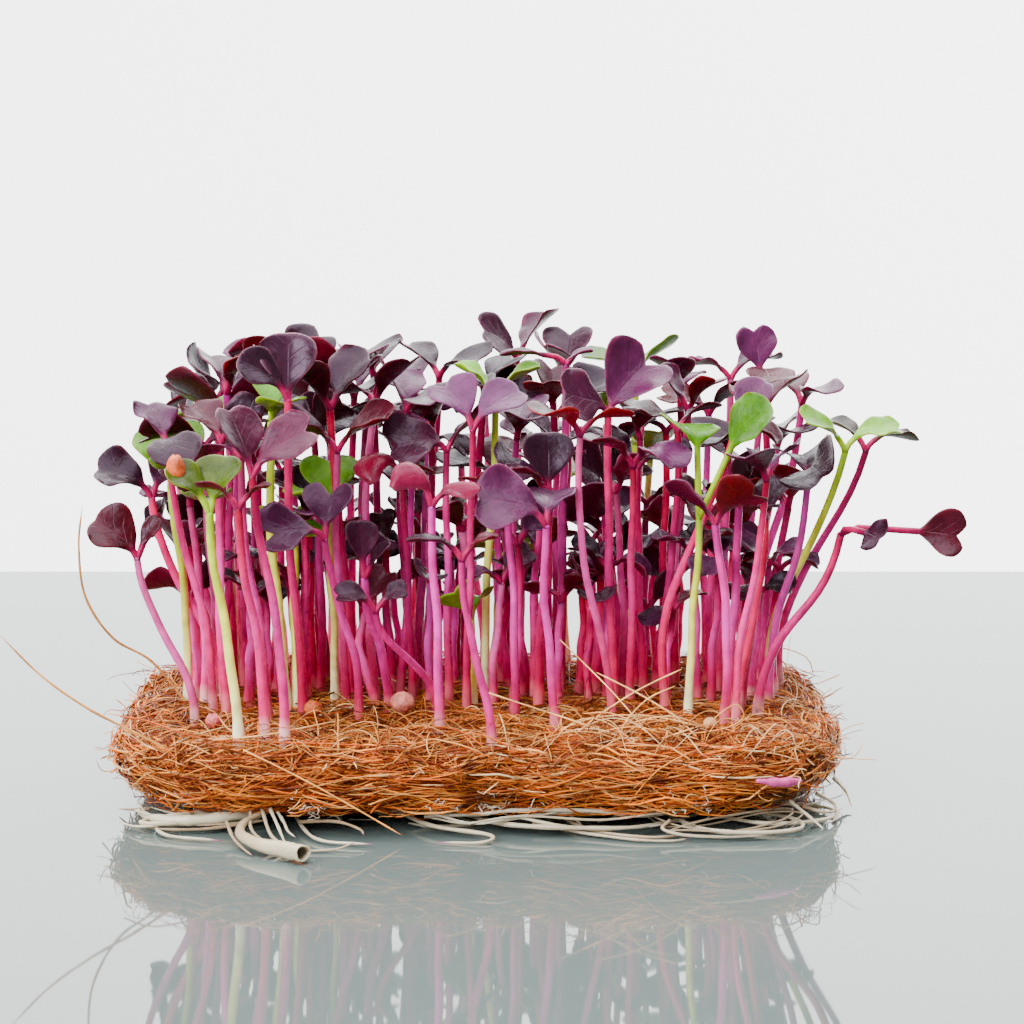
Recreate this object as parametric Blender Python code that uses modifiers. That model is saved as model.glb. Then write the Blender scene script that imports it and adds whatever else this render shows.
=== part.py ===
"""Radish microgreens growing on a cut piece of coir mat, with their white roots matted underneath.

Every seedling is a stem with two notched seed leaves. Seedlings that sprouted side by side are fused at
the foot and make one clump. Each clump stands in a plain hole in the mat. Lengths are in millimetres and
are turned into metres when a mesh is made. +Z is up, the front edge of the mat faces -Y, and the origin is
the middle of the flat underside that the roots rest on.
"""

import math
import random
from dataclasses import dataclass, replace

import bmesh
import bpy
from mathutils import Vector
from mathutils.bvhtree import BVHTree

MM = 0.001
SEED = 13

# The mat, and the layer of roots under it
MAT_WIDTH = 103.0
MAT_DEPTH = 68.0
MAT_CORNER = 18.0
INNER_CORNER = 4.0
MAT_UNDERSIDE = 3.4
MAT_TOP = 12.5
MAT_LEVELS = ((MAT_UNDERSIDE, 2.6), (MAT_UNDERSIDE + 2.8, 0.7), (MAT_TOP - 3.0, 0.2), (MAT_TOP, 1.4))
MAT_RAGGED = 0.5
EDGE_POINTS = 40
HOLE_DEPTH = 6.6
HOLE_GAP = 0.45

# The seedlings
STEM_FOOT_RADIUS = 0.86
STEM_HEAD_RADIUS = 0.68
ROOT_DEPTH = 6.0
FOOT_RISE = 0.8
CLUMP_RADIUS = 1.0
ROOT_SPREAD = 0.36
PETIOLE_RADIUS = 0.5
PETIOLE_BEND = 2.5
BLADE_THICKNESS = 0.66
WIDEST = 0.62
PLACED_ROWS = ((0.28, 1.0), (0.7, 1.0), (1.0, 0.72))
FREE_ROWS = ((0.54, 1.02), (1.0, 0.78))

# The clearance kept round a stem or a blade, and how the free seedlings are spread
GAP = 0.3
FREE_ZONE = (-43.0, 44.0, -17.0, 29.5)
FREE_CORNER = 11.0
SITE_SPACING = 8.6
PLACED_SPACING = 5.0
SITE_TRIES = 6000
MOST_FREE_CLUMPS = 25
NUDGES = 60


@dataclass
class Leaf:
    """One seed leaf: its heading and lift in degrees, its length, and how it bends."""

    heading: float
    lift: float
    length: float
    roll: float = 0.0
    width: float = 1.05
    petiole: float = 2.5
    rise: float = None
    curl: float = -12.0
    cup: float = 0.18


@dataclass
class Seedling:
    """One seedling: its clump and colour, where it leaves the mat, the head that its leaves grow from, how
    its stem bows, and the centre of the clump that it shares with others.
    """

    clump: str
    colour: str
    foot: tuple
    head: tuple
    leaves: list
    bow: tuple = (0.0, 0.0)
    site: tuple = None


# The seedlings along the front and the edges, placed one by one: foot x, y and head x, y, z
PLACED = [
    Seedling("drooping_seedling", "purple", (-40.3, -14.6), (-48.2, -14.6, 35.8), [
        Leaf(165, 38, 7.4, roll=-45, petiole=1.5), Leaf(15, 60, 4.5, roll=50, width=0.6)]),
    Seedling("dark_seedling", "purple", (-37.1, -1.0), (-47.4, -1.0, 42.3), [
        Leaf(178, 20, 7.6, roll=-35), Leaf(60, 25, 7.4, roll=15)]),
    Seedling("violet_seedling", "purple", (-36.3, 4.5), (-43.4, 5.5, 39.0), [
        Leaf(200, 10, 5.5), Leaf(40, 30, 6.0)]),
    Seedling("hulled_green_seedling", "green", (-33.0, -28.7), (-36.6, -28.7, 44.5), [
        Leaf(65, 60, 6.6, width=1.1), Leaf(100, -8, 5.6, width=1.3, rise=20),
        Leaf(160, 42, 6.4, roll=-30, width=0.8, petiole=3.0)]),
    Seedling("thin_leaf_seedling", "purple", (-29.6, -25.8), (-32.4, -31.8, 45.6), [
        Leaf(176, 14, 5.2, roll=18, width=0.7), Leaf(-6, 20, 3.8, width=0.7)], bow=(0.3, 0.6)),
    Seedling("tall_front_seedling", "purple", (-26.6, -28.9), (-30.7, -28.4, 49.6), [
        Leaf(140, 66, 8.4), Leaf(6, 36, 9.4, roll=45, width=0.85)], bow=(0.9, 0.0)),
    Seedling("round_leaf_seedling", "purple", (-25.0, -11.2), (-26.7, -12.2, 58.2), [
        Leaf(95, 78, 8.3, width=1.02, cup=0.22, petiole=1.6), Leaf(186, 36, 7.2, roll=-60, width=0.8)],
        bow=(-0.8, 0.0)),
    Seedling("three_lobed_seedling", "purple", (-17.0, -11.2), (-21.5, -15.2, 38.6), [
        Leaf(192, -4, 8.4, roll=-45, rise=15), Leaf(75, 66, 6.4, width=1.2)], bow=(0.8, 0.0)),
    Seedling("small_cup_seedling", "purple", (-12.8, -5.6), (-16.0, -12.2, 32.4), [
        Leaf(115, 74, 5.8, width=0.9, cup=0.35, petiole=3.0), Leaf(-10, 50, 4.4, roll=30, width=0.6)]),
    Seedling("low_seedling", "purple", (-5.8, -6.5), (-14.2, -17.4, 28.6), [
        Leaf(185, 4, 4.8, roll=-35, width=0.9), Leaf(5, 14, 3.6, roll=35)]),
    Seedling("pink_dome_seedling", "purple", (-9.5, -1.0), (-10.7, -3.4, 45.6), [
        Leaf(186, 25, 7.4, curl=-70, cup=-0.25), Leaf(70, 54, 7.0, roll=12)]),
    Seedling("pink_cap_seedling", "purple", (-5.1, -21.1), (-6.1, -21.6, 44.3), [
        Leaf(150, 66, 6.4, curl=-55, cup=-0.3), Leaf(-2, 12, 6.0, width=0.6, cup=-0.2)]),
    Seedling("flat_pair_seedling", "purple", (2.3, -28.7), (-1.8, -29.7, 38.2), [
        Leaf(0, 16, 4.2, width=1.1), Leaf(181, 8, 6.8, width=0.6)], bow=(-0.6, 0.0)),
    Seedling("lilac_seedling", "purple", (-1.5, -4.5), (-0.5, -8.5, 53.3), [
        Leaf(132, 38, 7.6, roll=-20), Leaf(24, 30, 7.6, roll=25)]),
    Seedling("red_under_seedling", "purple", (19.6, -9.2), (14.7, -15.2, 53.5), [
        Leaf(225, 16, 7.4, width=1.15), Leaf(0, 8, 7.0, roll=-15, width=0.8)], bow=(-1.8, 0.0)),
    Seedling("dark_oval_seedling", "purple", (9.0, -3.0), (10.4, -10.4, 44.0), [
        Leaf(96, 74, 7.2), Leaf(200, 25, 6.0)]),
    Seedling("maroon_seedling", "purple", (11.2, -19.1), (10.2, -20.2, 41.0), [
        Leaf(184, 14, 9.4, roll=-48, width=1.15), Leaf(80, 18, 7.0)], bow=(-0.8, 0.0)),
    Seedling("bent_seedling", "purple", (27.5, -4.5), (37.2, -6.5, 53.0), [
        Leaf(25, 52, 6.4, roll=20), Leaf(-25, -30, 5.6, rise=0)], bow=(-3.6, 0.0)),
    Seedling("forked_green_seedling", "green", (30.6, -9.6), (32.7, -10.2, 39.9), [
        Leaf(97, 8, 7.0, roll=14, width=1.6, petiole=10.5, rise=86, cup=0.1),
        Leaf(8, 42, 8.8, roll=45, width=1.0, petiole=11.5, rise=66)]),
    Seedling("right_green_seedling", "green", (43.2, 4.0), (53.7, 0.6, 49.1), [
        Leaf(200, 28, 7.0, roll=-20), Leaf(5, 10, 7.4, roll=15, width=0.95)], bow=(-2.2, 0.0)),
    Seedling("far_right_seedling", "purple", (40.7, -9.2), (52.3, -9.2, 38.4), [
        Leaf(1, -2, 6.8, roll=64, petiole=12.0, rise=-4, width=1.1),
        Leaf(-50, -8, 3.6, roll=50, petiole=5.5, rise=-4, width=1.6)], bow=(-0.8, 0.0)),
    Seedling("right_edge_seedling", "purple", (45.2, 10.0), (57.6, 9.6, 47.8), [
        Leaf(4, -5, 6.6), Leaf(150, 22, 5.8)], bow=(-3.0, 0.0)),
    Seedling("tall_back_seedling", "purple", (12.3, 6.0), (13.0, 6.0, 61.0), [
        Leaf(181, 3, 6.8, width=0.55, petiole=4.0, rise=10), Leaf(0, 16, 4.0, width=0.9, petiole=1.2)]),
    Seedling("top_green_seedling", "green", (1.0, 3.5), (2.3, 3.2, 57.2), [
        Leaf(172, 36, 6.6), Leaf(8, 30, 7.0)]),
    Seedling("middle_green_seedling", "green", (-20.9, -1.0), (-21.4, -2.0, 40.1), [
        Leaf(95, 60, 7.2, width=1.2), Leaf(205, 14, 6.0)]),
    Seedling("left_green_seedling", "green", (-36.7, 14.2), (-38.6, 14.2, 49.1), [
        Leaf(190, 15, 6.6), Leaf(60, 30, 6.6)]),
    Seedling("hanging_leaf_seedling", "purple", (22.4, -2.5), (23.0, -7.5, 48.0), [
        Leaf(-32, 8, 8.6, curl=-60), Leaf(195, 12, 7.4)]),
    Seedling("low_dark_seedling", "purple", (32.4, 0.6), (31.6, -2.6, 33.7), [
        Leaf(200, 12, 5.6), Leaf(10, 18, 5.0)]),
]

# Seeds that never sprouted: x, y, z and radius. Then a bit of stem caught on the front edge
SEEDS = {
    "seed_left": ((-37.0, -22.5, 14.1), 1.3),
    "seed_brown": ((-23.4, -15.1, 14.3), 1.5),
    "seed_pink": ((-10.6, -12.6, 14.7), 1.9),
    "seed_right": ((33.0, -23.0, 13.9), 1.1),
}
FALLEN_PIECE = ((38.8, -34.3, 8.3), (42.2, -33.1, 7.8), (45.4, -31.0, 7.5))
FALLEN_RADIUS = 0.75

# Coir fibres that stand out of the mat's edge: their counts, and the path of each long one
RIM_FIBRES = 13
LOOSE_ENDS = 10
FIBRE_RADIUS = 0.32
LONG_FIBRES = [
    [(-43.0, -29.0, 11.6), (-48.0, -30.4, 14.6), (-54.0, -31.0, 18.0), (-60.0, -31.0, 22.4),
     (-65.5, -31.0, 28.0)],
    [(-42.0, -2.5, 11.6), (-47.5, -3.0, 18.6), (-53.0, -5.0, 22.6), (-56.6, -7.0, 29.0),
     (-57.3, -8.0, 36.5), (-56.7, -8.0, 42.5)],
]

# White roots on the surface that the part stands on: points x, y, z along each strand, and its radius
ROOT_STRANDS = [
    (0.55, [(-30, -22, 1.2), (-38, -29, 1.4), (-45, -31, 1.6), (-46, -28, 1.4), (-36, -20, 1.2)]),
    (0.45, [(-34, -20, 1.2), (-44, -26, 1.0), (-43, -34, 0.8), (-35, -37, 0.7)]),
    (1.05, [(-28, -21, 1.3), (-31, -31, 1.4), (-31, -38, 1.2), (-27, -45, 1.2), (-22.5, -50, 1.5)]),
    (0.4, [(-26, -21, 1.2), (-24, -31, 1.0), (-21, -37, 0.7), (-14, -39, 0.7)]),
    (0.45, [(-12, -21, 1.2), (-6, -31, 1.3), (2, -35, 1.0), (1, -38, 0.7), (-5, -38, 0.7)]),
    (0.55, [(-4, -21, 1.2), (4, -31.5, 1.7), (14, -33.4, 1.6), (24, -32.6, 1.7), (34, -21, 1.2)]),
    (0.4, [(10, -21, 1.2), (16, -32, 1.0), (24, -35.5, 0.8), (30, -33, 0.7)]),
    (0.5, [(26, -21, 1.2), (31, -33, 1.5), (38, -35, 1.3), (45, -33, 1.4), (44, -27, 1.5), (34, -21, 1.2)]),
    (0.45, [(30, -21, 1.2), (40, -29, 1.2), (49, -27, 1.2), (50, -19, 0.9), (36, -14, 1.2)]),
    (0.45, [(-36, 12, 1.2), (-47, 16, 1.2), (-44, 27, 1.0), (-30, 21, 1.2)]),
    (0.45, [(10, 21, 1.2), (22, 32, 1.2), (36, 29, 1.0), (34, 20, 1.2)]),
]
ROOT_CORE_LEVELS = ((0.4, 12.0), (1.6, 10.5), (3.0, 12.5))
ROOT_CORE_RAGGED = 1.6
ROOT_CORE_POINTS = 28
# The plain foot under the root layer, which alone touches the surface below, and the gap under the strands
ROOT_FOOT = (72.0, 40.0, 1.2)
ROOT_RISE = 0.35


def in_mat(x, y, inset):
    """Whether a point of the plan lies inside the mat's rounded outline, this far in from its edge."""
    corner = max(MAT_CORNER - inset, INNER_CORNER)
    across = max(abs(x) - (MAT_WIDTH / 2 - inset - corner), 0.0)
    along = max(abs(y) - (MAT_DEPTH / 2 - inset - corner), 0.0)
    return math.hypot(across, along) <= corner


def smooth(value):
    """Eases from 0 to 1."""
    value = min(max(value, 0.0), 1.0)
    return value * value * (3 - 2 * value)


def stem_point(seedling, share):
    """The stem's centre at a share of its way from the foot to the head, on one cubic curve."""
    foot = Vector((*seedling.foot, MAT_TOP + FOOT_RISE))
    head = Vector(seedling.head)
    bow = Vector((*seedling.bow, 0.0))
    rise = Vector((0.0, 0.0, (head.z - foot.z) / 3))
    low = foot + rise + (head - foot) * 0.12 + bow
    high = head - rise - (head - foot) * 0.10 + bow
    back = 1 - share
    return (foot * back**3 + low * 3 * back**2 * share + high * 3 * back * share**2 + head * share**3)


def stem_root(seedling):
    """The lowest point of the stem, in its hole in the mat. The stems of one clump draw together there."""
    foot = Vector(seedling.foot)
    site = Vector(seedling.site or seedling.foot)
    return Vector((*site.lerp(foot, ROOT_SPREAD), MAT_TOP - ROOT_DEPTH))


def stem_radius(share):
    """The stem thins a little from foot to head."""
    return STEM_FOOT_RADIUS + (STEM_HEAD_RADIUS - STEM_FOOT_RADIUS) * share


class Spine:
    """The midline of a leaf, from the seedling's head along its petiole to its tip."""

    STEPS = 16

    def __init__(self, seedling, leaf):
        self.leaf = leaf
        self.rows = FREE_ROWS if seedling.site else PLACED_ROWS
        self.rise = leaf.rise if leaf.rise is not None else leaf.lift + 0.45 * (80 - leaf.lift)
        self.reach = leaf.petiole + leaf.length * 1.05
        turn = math.radians(leaf.heading)
        self.outward = Vector((math.cos(turn), math.sin(turn), 0.0))
        self.sideways = Vector((-math.sin(turn), math.cos(turn), 0.0))
        point = Vector(seedling.head)
        self.points = [point.copy()]
        step = self.reach / self.STEPS
        for index in range(self.STEPS):
            point = point + self.direction((index + 0.5) * step) * step
            self.points.append(point.copy())

    def lift(self, along):
        """The midline's angle above the horizontal, in degrees, this far from the head."""
        leaf = self.leaf
        if along < leaf.petiole:
            start = max(70.0, self.rise)
            return start + (self.rise - start) * smooth(along / min(leaf.petiole, PETIOLE_BEND))
        past = along - leaf.petiole
        curled = leaf.lift + leaf.curl * past / leaf.length
        return self.rise + (curled - self.rise) * smooth(past / PETIOLE_BEND)

    def direction(self, along):
        lift = math.radians(self.lift(along))
        return self.outward * math.cos(lift) + Vector((0.0, 0.0, math.sin(lift)))

    def centre(self, along):
        place = min(max(along / self.reach, 0.0), 1.0) * self.STEPS
        low = min(int(place), self.STEPS - 1)
        return self.points[low].lerp(self.points[low + 1], place - low)

    def sides(self, along):
        """The leaf's direction to its left, and its upper face's normal."""
        forward = self.direction(along)
        roll = math.radians(self.leaf.roll) * smooth(along / self.leaf.petiole)
        flat_normal = forward.cross(self.sideways)
        side = self.sideways * math.cos(roll) + flat_normal * math.sin(roll)
        return side, forward.cross(side)


def half_width(leaf, share):
    """Half the blade's width at a share of its length: narrow at the neck, broadest near the lobes."""
    if share <= 0:
        return PETIOLE_RADIUS
    if share < WIDEST:
        swell = math.sin(math.pi / 2 * share / WIDEST) ** 1.35
    else:
        swell = 1 - 0.2 * ((share - WIDEST) / (1 - WIDEST)) ** 2
    return PETIOLE_RADIUS + (leaf.length * leaf.width / 2 - PETIOLE_RADIUS) * swell


def notched(across):
    """How far the outline at the tip stands past or short of the blade's length: two lobes and a notch."""
    return 0.03 - 0.17 * math.exp(-((across / 0.3) ** 2)) - 0.3 * across**4


def blade_point(spine, share, across, rise=0.0):
    """A point of the blade: share along it, across from -1 to 1, and rise off its surface."""
    leaf = spine.leaf
    reached = share + max(share, 0.0) ** 3 * notched(across)
    along = leaf.petiole + leaf.length * reached
    side, normal = spine.sides(along)
    half = half_width(leaf, share)
    lifted = leaf.cup * half * across * across + rise
    return spine.centre(along) + side * (half * across) + normal * lifted


def blade_rows(spine, rise=0.0):
    """The rows of three points that the plain blade is stretched over, from head to tip."""
    leaf = spine.leaf
    shares = [(-leaf.petiole / leaf.length, 1.0), *spine.rows]
    if leaf.petiole > 2 * PETIOLE_BEND:
        shares.insert(1, (0.06, 1.0))
    if leaf.petiole > 3 * PETIOLE_BEND:
        shares.insert(1, (-0.5 * leaf.petiole / leaf.length, 1.0))
    return [[blade_point(spine, share, across * reach, rise) for across in (-1, 0, 1)]
            for share, reach in shares]


def tube_rings(points, radii, sides=6):
    """Rings of points round a path."""
    rings = []
    for index, point in enumerate(points):
        before = points[max(index - 1, 0)]
        after = points[min(index + 1, len(points) - 1)]
        forward = (after - before).normalized()
        side = forward.cross(Vector((0.0, 1.0, 0.0))).normalized()
        other = forward.cross(side)
        turns = [math.tau * turn / sides for turn in range(sides)]
        rings.append([point + (side * math.cos(a) + other * math.sin(a)) * radii[index] for a in turns])
    return rings


def add_tube(rings, vertices, faces):
    """Adds a closed tube through the rings to a list of vertices and faces."""
    start, sides = len(vertices), len(rings[0])
    for ring in rings:
        vertices.extend(ring)
    for row in range(len(rings) - 1):
        for turn in range(sides):
            first, second = start + row * sides + turn, start + row * sides + (turn + 1) % sides
            faces.append((first, second, second + sides, first + sides))
    faces.append(tuple(range(start + sides - 1, start - 1, -1)))
    faces.append(tuple(range(len(vertices) - sides, len(vertices))))


def room_of(seedling, from_share):
    """The room that a seedling needs, as a search tree: its leaves, and its stem from this share up."""
    vertices, faces = [], []
    shares = [s for s in (0.0, 0.35, 0.7, 1.0) if s >= from_share]
    path = [stem_point(seedling, share) for share in shares]
    rings = tube_rings(path, [stem_radius(share) * 1.05 + GAP for share in shares])
    add_tube(rings, vertices, faces)
    for leaf in seedling.leaves:
        spine = Spine(seedling, leaf)
        over = blade_rows(spine, BLADE_THICKNESS / 2 + GAP)
        under = blade_rows(spine, -BLADE_THICKNESS / 2 - GAP)
        rings = [[*low, *reversed(high)] for low, high in zip(under, over)]
        add_tube(rings, vertices, faces)
    return BVHTree.FromPolygons(vertices, faces)


def ball_tree(centre, radius):
    """The room of a small round piece."""
    rings = tube_rings([Vector(centre) - Vector((0, 0, radius)), Vector(centre) + Vector((0, 0, radius))],
                       [radius, radius])
    vertices, faces = [], []
    add_tube(rings, vertices, faces)
    return BVHTree.FromPolygons(vertices, faces)


def nudged(seedling, draw, amount):
    """The seedling with its head and its leaves moved a little, more with each try."""
    head = seedling.head
    moved = (head[0] + draw.gauss(0, 1.2) * amount, head[1] + draw.gauss(0, 1.2) * amount,
             head[2] + draw.gauss(0, 1.5) * amount)
    leaves = [replace(leaf, heading=leaf.heading + draw.gauss(0, 16) * amount,
                      lift=leaf.lift + draw.gauss(0, 12) * amount,
                      length=leaf.length * (1 - 0.15 * amount * draw.random())) for leaf in seedling.leaves]
    return replace(seedling, head=moved, leaves=leaves)


def settle(seedling, placed, obstacles, draw, free=False):
    """Moves a seedling until it crosses no other and adds it to those placed, or gives up and says so."""
    for attempt in range(NUDGES):
        amount = 3.0 * attempt / NUDGES
        tried = drawn_seedling(seedling, draw) if free else nudged(seedling, draw, amount)
        whole, upper = room_of(tried, 0.0), room_of(tried, 0.35)
        mates = [trees for other, trees in placed if other.clump == tried.clump]
        others = [trees for other, trees in placed if other.clump != tried.clump]
        if any(whole.overlap(trees[0]) for trees in others):
            continue
        if any(upper.overlap(trees[1]) for trees in mates):
            continue
        if any(whole.overlap(tree) for tree in obstacles):
            continue
        placed.append((tried, (whole, upper)))
        return True
    return False


def drawn_seedling(seedling, draw):
    """A free seedling with a head and leaves drawn anew: it leans outwards near the mat's edge."""
    x, y = seedling.foot
    centre_x, centre_y = seedling.site
    edge_x, edge_y = x / (MAT_WIDTH / 2), y / (MAT_DEPTH / 2)
    tallest = 46.0 + 5.0 * edge_y
    height = draw.triangular(25.0, tallest, tallest - 4.0)
    fall = 7.0 * max(abs(edge_x), abs(edge_y)) ** 4
    lean_x = 0.12 * edge_x**3 + draw.gauss(0, 0.04)
    lean_y = 0.10 * edge_y**3 + draw.gauss(0, 0.05)
    fan = draw.uniform(0.32, 1.54)
    head = (x + lean_x * height + (x - centre_x) * fan, y + lean_y * height + (y - centre_y) * fan,
            MAT_TOP + height - fall)
    heading = draw.uniform(0, 360)
    leaves = []
    for opposite in (0, 180):
        leaves.append(Leaf(heading + opposite + draw.gauss(0, 14), draw.gauss(24, 20),
                           draw.uniform(6.0, 8.2), roll=draw.gauss(0, 14), width=draw.uniform(0.9, 1.15),
                           petiole=draw.uniform(1.6, 2.5), curl=draw.uniform(-40, 10),
                           cup=draw.uniform(0.05, 0.3)))
    bow = (draw.gauss(0, 0.7), draw.gauss(0, 0.7))
    return replace(seedling, head=head, leaves=leaves, bow=bow)


def free_sites(draw):
    """The centres of the free clumps, strewn at random and no closer than the spacing."""
    taken = [seedling.foot for seedling in PLACED]
    sites = []
    left, right, front, back = FREE_ZONE
    for _ in range(SITE_TRIES):
        x, y = draw.uniform(left, right), draw.uniform(front, back)
        to_side = max(left + FREE_CORNER - x, x - right + FREE_CORNER, 0.0)
        to_end = max(front + FREE_CORNER - y, y - back + FREE_CORNER, 0.0)
        apart = min([math.dist((x, y), other) for other in sites], default=SITE_SPACING)
        from_placed = min(math.dist((x, y), other) for other in taken)
        inside = math.hypot(to_side, to_end) <= FREE_CORNER
        if inside and apart >= SITE_SPACING and from_placed >= PLACED_SPACING:
            sites.append((x, y))
    return sites[:MOST_FREE_CLUMPS]


def all_seedlings():
    """Every seedling, settled clear of the others: the placed ones first, then the free clumps."""
    draw = random.Random(SEED)
    obstacles = [ball_tree(centre, radius + GAP) for centre, radius in SEEDS.values()]
    placed = []
    for seedling in PLACED:
        if not settle(seedling, placed, obstacles, draw):
            print("no room for", seedling.clump)
    for number, (x, y) in enumerate(free_sites(draw), 1):
        colour = "green" if draw.random() < 0.12 else "purple"
        name = f"{colour}_clump_{number:02d}"
        count = 3 if draw.random() < 0.35 else 2
        start = draw.uniform(0, math.tau)
        for mate in range(count):
            turn = start + math.tau * mate / count
            foot = (x + CLUMP_RADIUS * math.cos(turn), y + CLUMP_RADIUS * math.sin(turn))
            blank = Seedling(name, colour, foot, (x, y, MAT_TOP), [], site=(x, y))
            settle(blank, placed, obstacles, draw, free=True)
    return [seedling for seedling, _ in placed]


def clumps_of(seedlings):
    """The seedlings of each clump, by its name."""
    clumps = {}
    for seedling in seedlings:
        clumps.setdefault(seedling.clump, []).append(seedling)
    return clumps


def material(name, colour, roughness):
    made = bpy.data.materials.new(name)
    made.use_nodes = True
    shader = made.node_tree.nodes["Principled BSDF"]
    shader.inputs["Base Color"].default_value = (*colour, 1.0)
    shader.inputs["Roughness"].default_value = roughness
    shader.inputs["Metallic"].default_value = 0.0
    made.diffuse_color = (*colour, 1.0)
    return made


def collection(name, hidden=False):
    made = bpy.data.collections.new(name)
    bpy.context.scene.collection.children.link(made)
    made.hide_render = hidden
    return made


def without_specks(mesh):
    """Removes the stray slivers that a union can leave beside its one real shell."""
    shape = bmesh.new()
    shape.from_mesh(mesh)
    waiting, shells = set(shape.verts), []
    while waiting:
        edge_of_shell, shell = [waiting.pop()], []
        while edge_of_shell:
            vertex = edge_of_shell.pop()
            shell.append(vertex)
            near = [edge.other_vert(vertex) for edge in vertex.link_edges]
            edge_of_shell += [other for other in near if other in waiting]
            waiting.difference_update(near)
        shells.append(shell)
    shells.sort(key=len)
    specks = [vertex for shell in shells[:-1] for vertex in shell]
    bmesh.ops.delete(shape, geom=specks, context="VERTS")
    shape.to_mesh(mesh)
    shape.free()


def mesh_object(name, mesh, home):
    made = bpy.data.objects.new(name, mesh)
    home.objects.link(made)
    return made


def as_mesh(source, name, home, weld=True):
    """The evaluated object as a plain mesh, with a tube's caps welded on. The source is removed."""
    bpy.context.view_layer.update()
    graph = bpy.context.evaluated_depsgraph_get()
    mesh = bpy.data.meshes.new_from_object(source.evaluated_get(graph))
    mesh.transform(source.matrix_world)
    if weld:
        shape = bmesh.new()
        shape.from_mesh(mesh)
        bmesh.ops.remove_doubles(shape, verts=shape.verts, dist=0.001 * MM)
        bmesh.ops.recalc_face_normals(shape, faces=shape.faces)
        shape.to_mesh(mesh)
        shape.free()
    bpy.data.objects.remove(source)
    return mesh_object(name, mesh, home)


def tube(name, points, radii, home, resolution=1):
    """A closed tube through points in millimetres, with a radius at each."""
    curve = bpy.data.curves.new(name, "CURVE")
    curve.dimensions = "3D"
    curve.bevel_depth = MM
    curve.bevel_resolution = resolution
    curve.use_fill_caps = True
    spline = curve.splines.new("POLY")
    spline.points.add(len(points) - 1)
    for knot, point, radius in zip(spline.points, points, radii):
        knot.co = (*(Vector(point) * MM), 1.0)
        knot.radius = radius
    return as_mesh(mesh_object(name + "_curve", curve, home), name, home)


def blade(name, seedling, leaf, home):
    """A closed blade: a grid laid over the leaf's rows and thickened evenly to both sides."""
    rows = blade_rows(Spine(seedling, leaf))
    shape = bmesh.new()
    bmesh.ops.create_grid(shape, x_segments=2, y_segments=len(rows) - 1, size=1.0)
    shape.verts.ensure_lookup_table()
    for vertex, point in zip(shape.verts, [point for row in rows for point in row]):
        vertex.co = point * MM
    bmesh.ops.triangulate(shape, faces=shape.faces)
    mesh = bpy.data.meshes.new(name)
    shape.to_mesh(mesh)
    shape.free()
    made = mesh_object(name + "_sheet", mesh, home)
    thick = made.modifiers.new("thickness", "SOLIDIFY")
    thick.thickness = BLADE_THICKNESS * MM
    thick.offset = 0.0
    return as_mesh(made, name, home)


def fused(name, pieces, home, finish):
    """One solid made of all the pieces, which are removed."""
    base, others = pieces[0], pieces[1:]
    joined = collection(name + "_pieces")
    for piece in others:
        joined.objects.link(piece)
    union = base.modifiers.new("union", "BOOLEAN")
    union.operation = "UNION"
    union.operand_type = "COLLECTION"
    union.collection = joined
    union.solver = "MANIFOLD"
    made = as_mesh(base, name, home, weld=False)
    without_specks(made.data)
    for piece in others:
        bpy.data.objects.remove(piece)
    bpy.data.collections.remove(joined)
    made.data.materials.clear()
    made.data.materials.append(finish)
    return made


def make_clump(name, seedlings, home, finishes):
    """The seedlings of one clump, fused where they leave their shared hole."""
    pieces = []
    for number, seedling in enumerate(seedlings):
        shares = (0.0, 0.5, 1.0)
        path = [stem_root(seedling)] + [stem_point(seedling, share) for share in shares]
        radii = [STEM_FOOT_RADIUS] + [stem_radius(share) for share in shares]
        pieces.append(tube(f"stem_{number}", path, radii, home))
        for side, leaf in enumerate(seedling.leaves):
            pieces.append(blade(f"blade_{number}_{side}", seedling, leaf, home))
    return fused(name, pieces, home, finishes[seedlings[0].colour])


def outline(inset, count=EDGE_POINTS):
    """Points round the mat's rounded outline in plan, evenly spaced by turn, this far in from its edge."""
    points = []
    for index in range(count):
        turn = math.tau * index / count
        forward = Vector((math.cos(turn), math.sin(turn)))
        low, high = 0.0, MAT_WIDTH
        for _ in range(24):
            middle = (low + high) / 2
            low, high = (middle, high) if in_mat(*(forward * middle), inset) else (low, middle)
        points.append(forward * low)
    return points


def slab(name, levels, draw, ragged, home, count=EDGE_POINTS):
    """A slab through rings at the given heights and insets, with a ragged edge."""
    rings = []
    for height, inset in levels:
        ring = []
        for point in outline(inset, count):
            moved = point * (1 + draw.uniform(-ragged, ragged) / point.length)
            ring.append(Vector((*moved, height)))
        rings.append(ring)
    vertices, faces = [], []
    add_tube(rings, vertices, faces)
    mesh = bpy.data.meshes.new(name)
    mesh.from_pydata([vertex * MM for vertex in vertices], [], faces)
    return as_mesh(mesh_object(name + "_rings", mesh, home), name, home)


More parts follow.
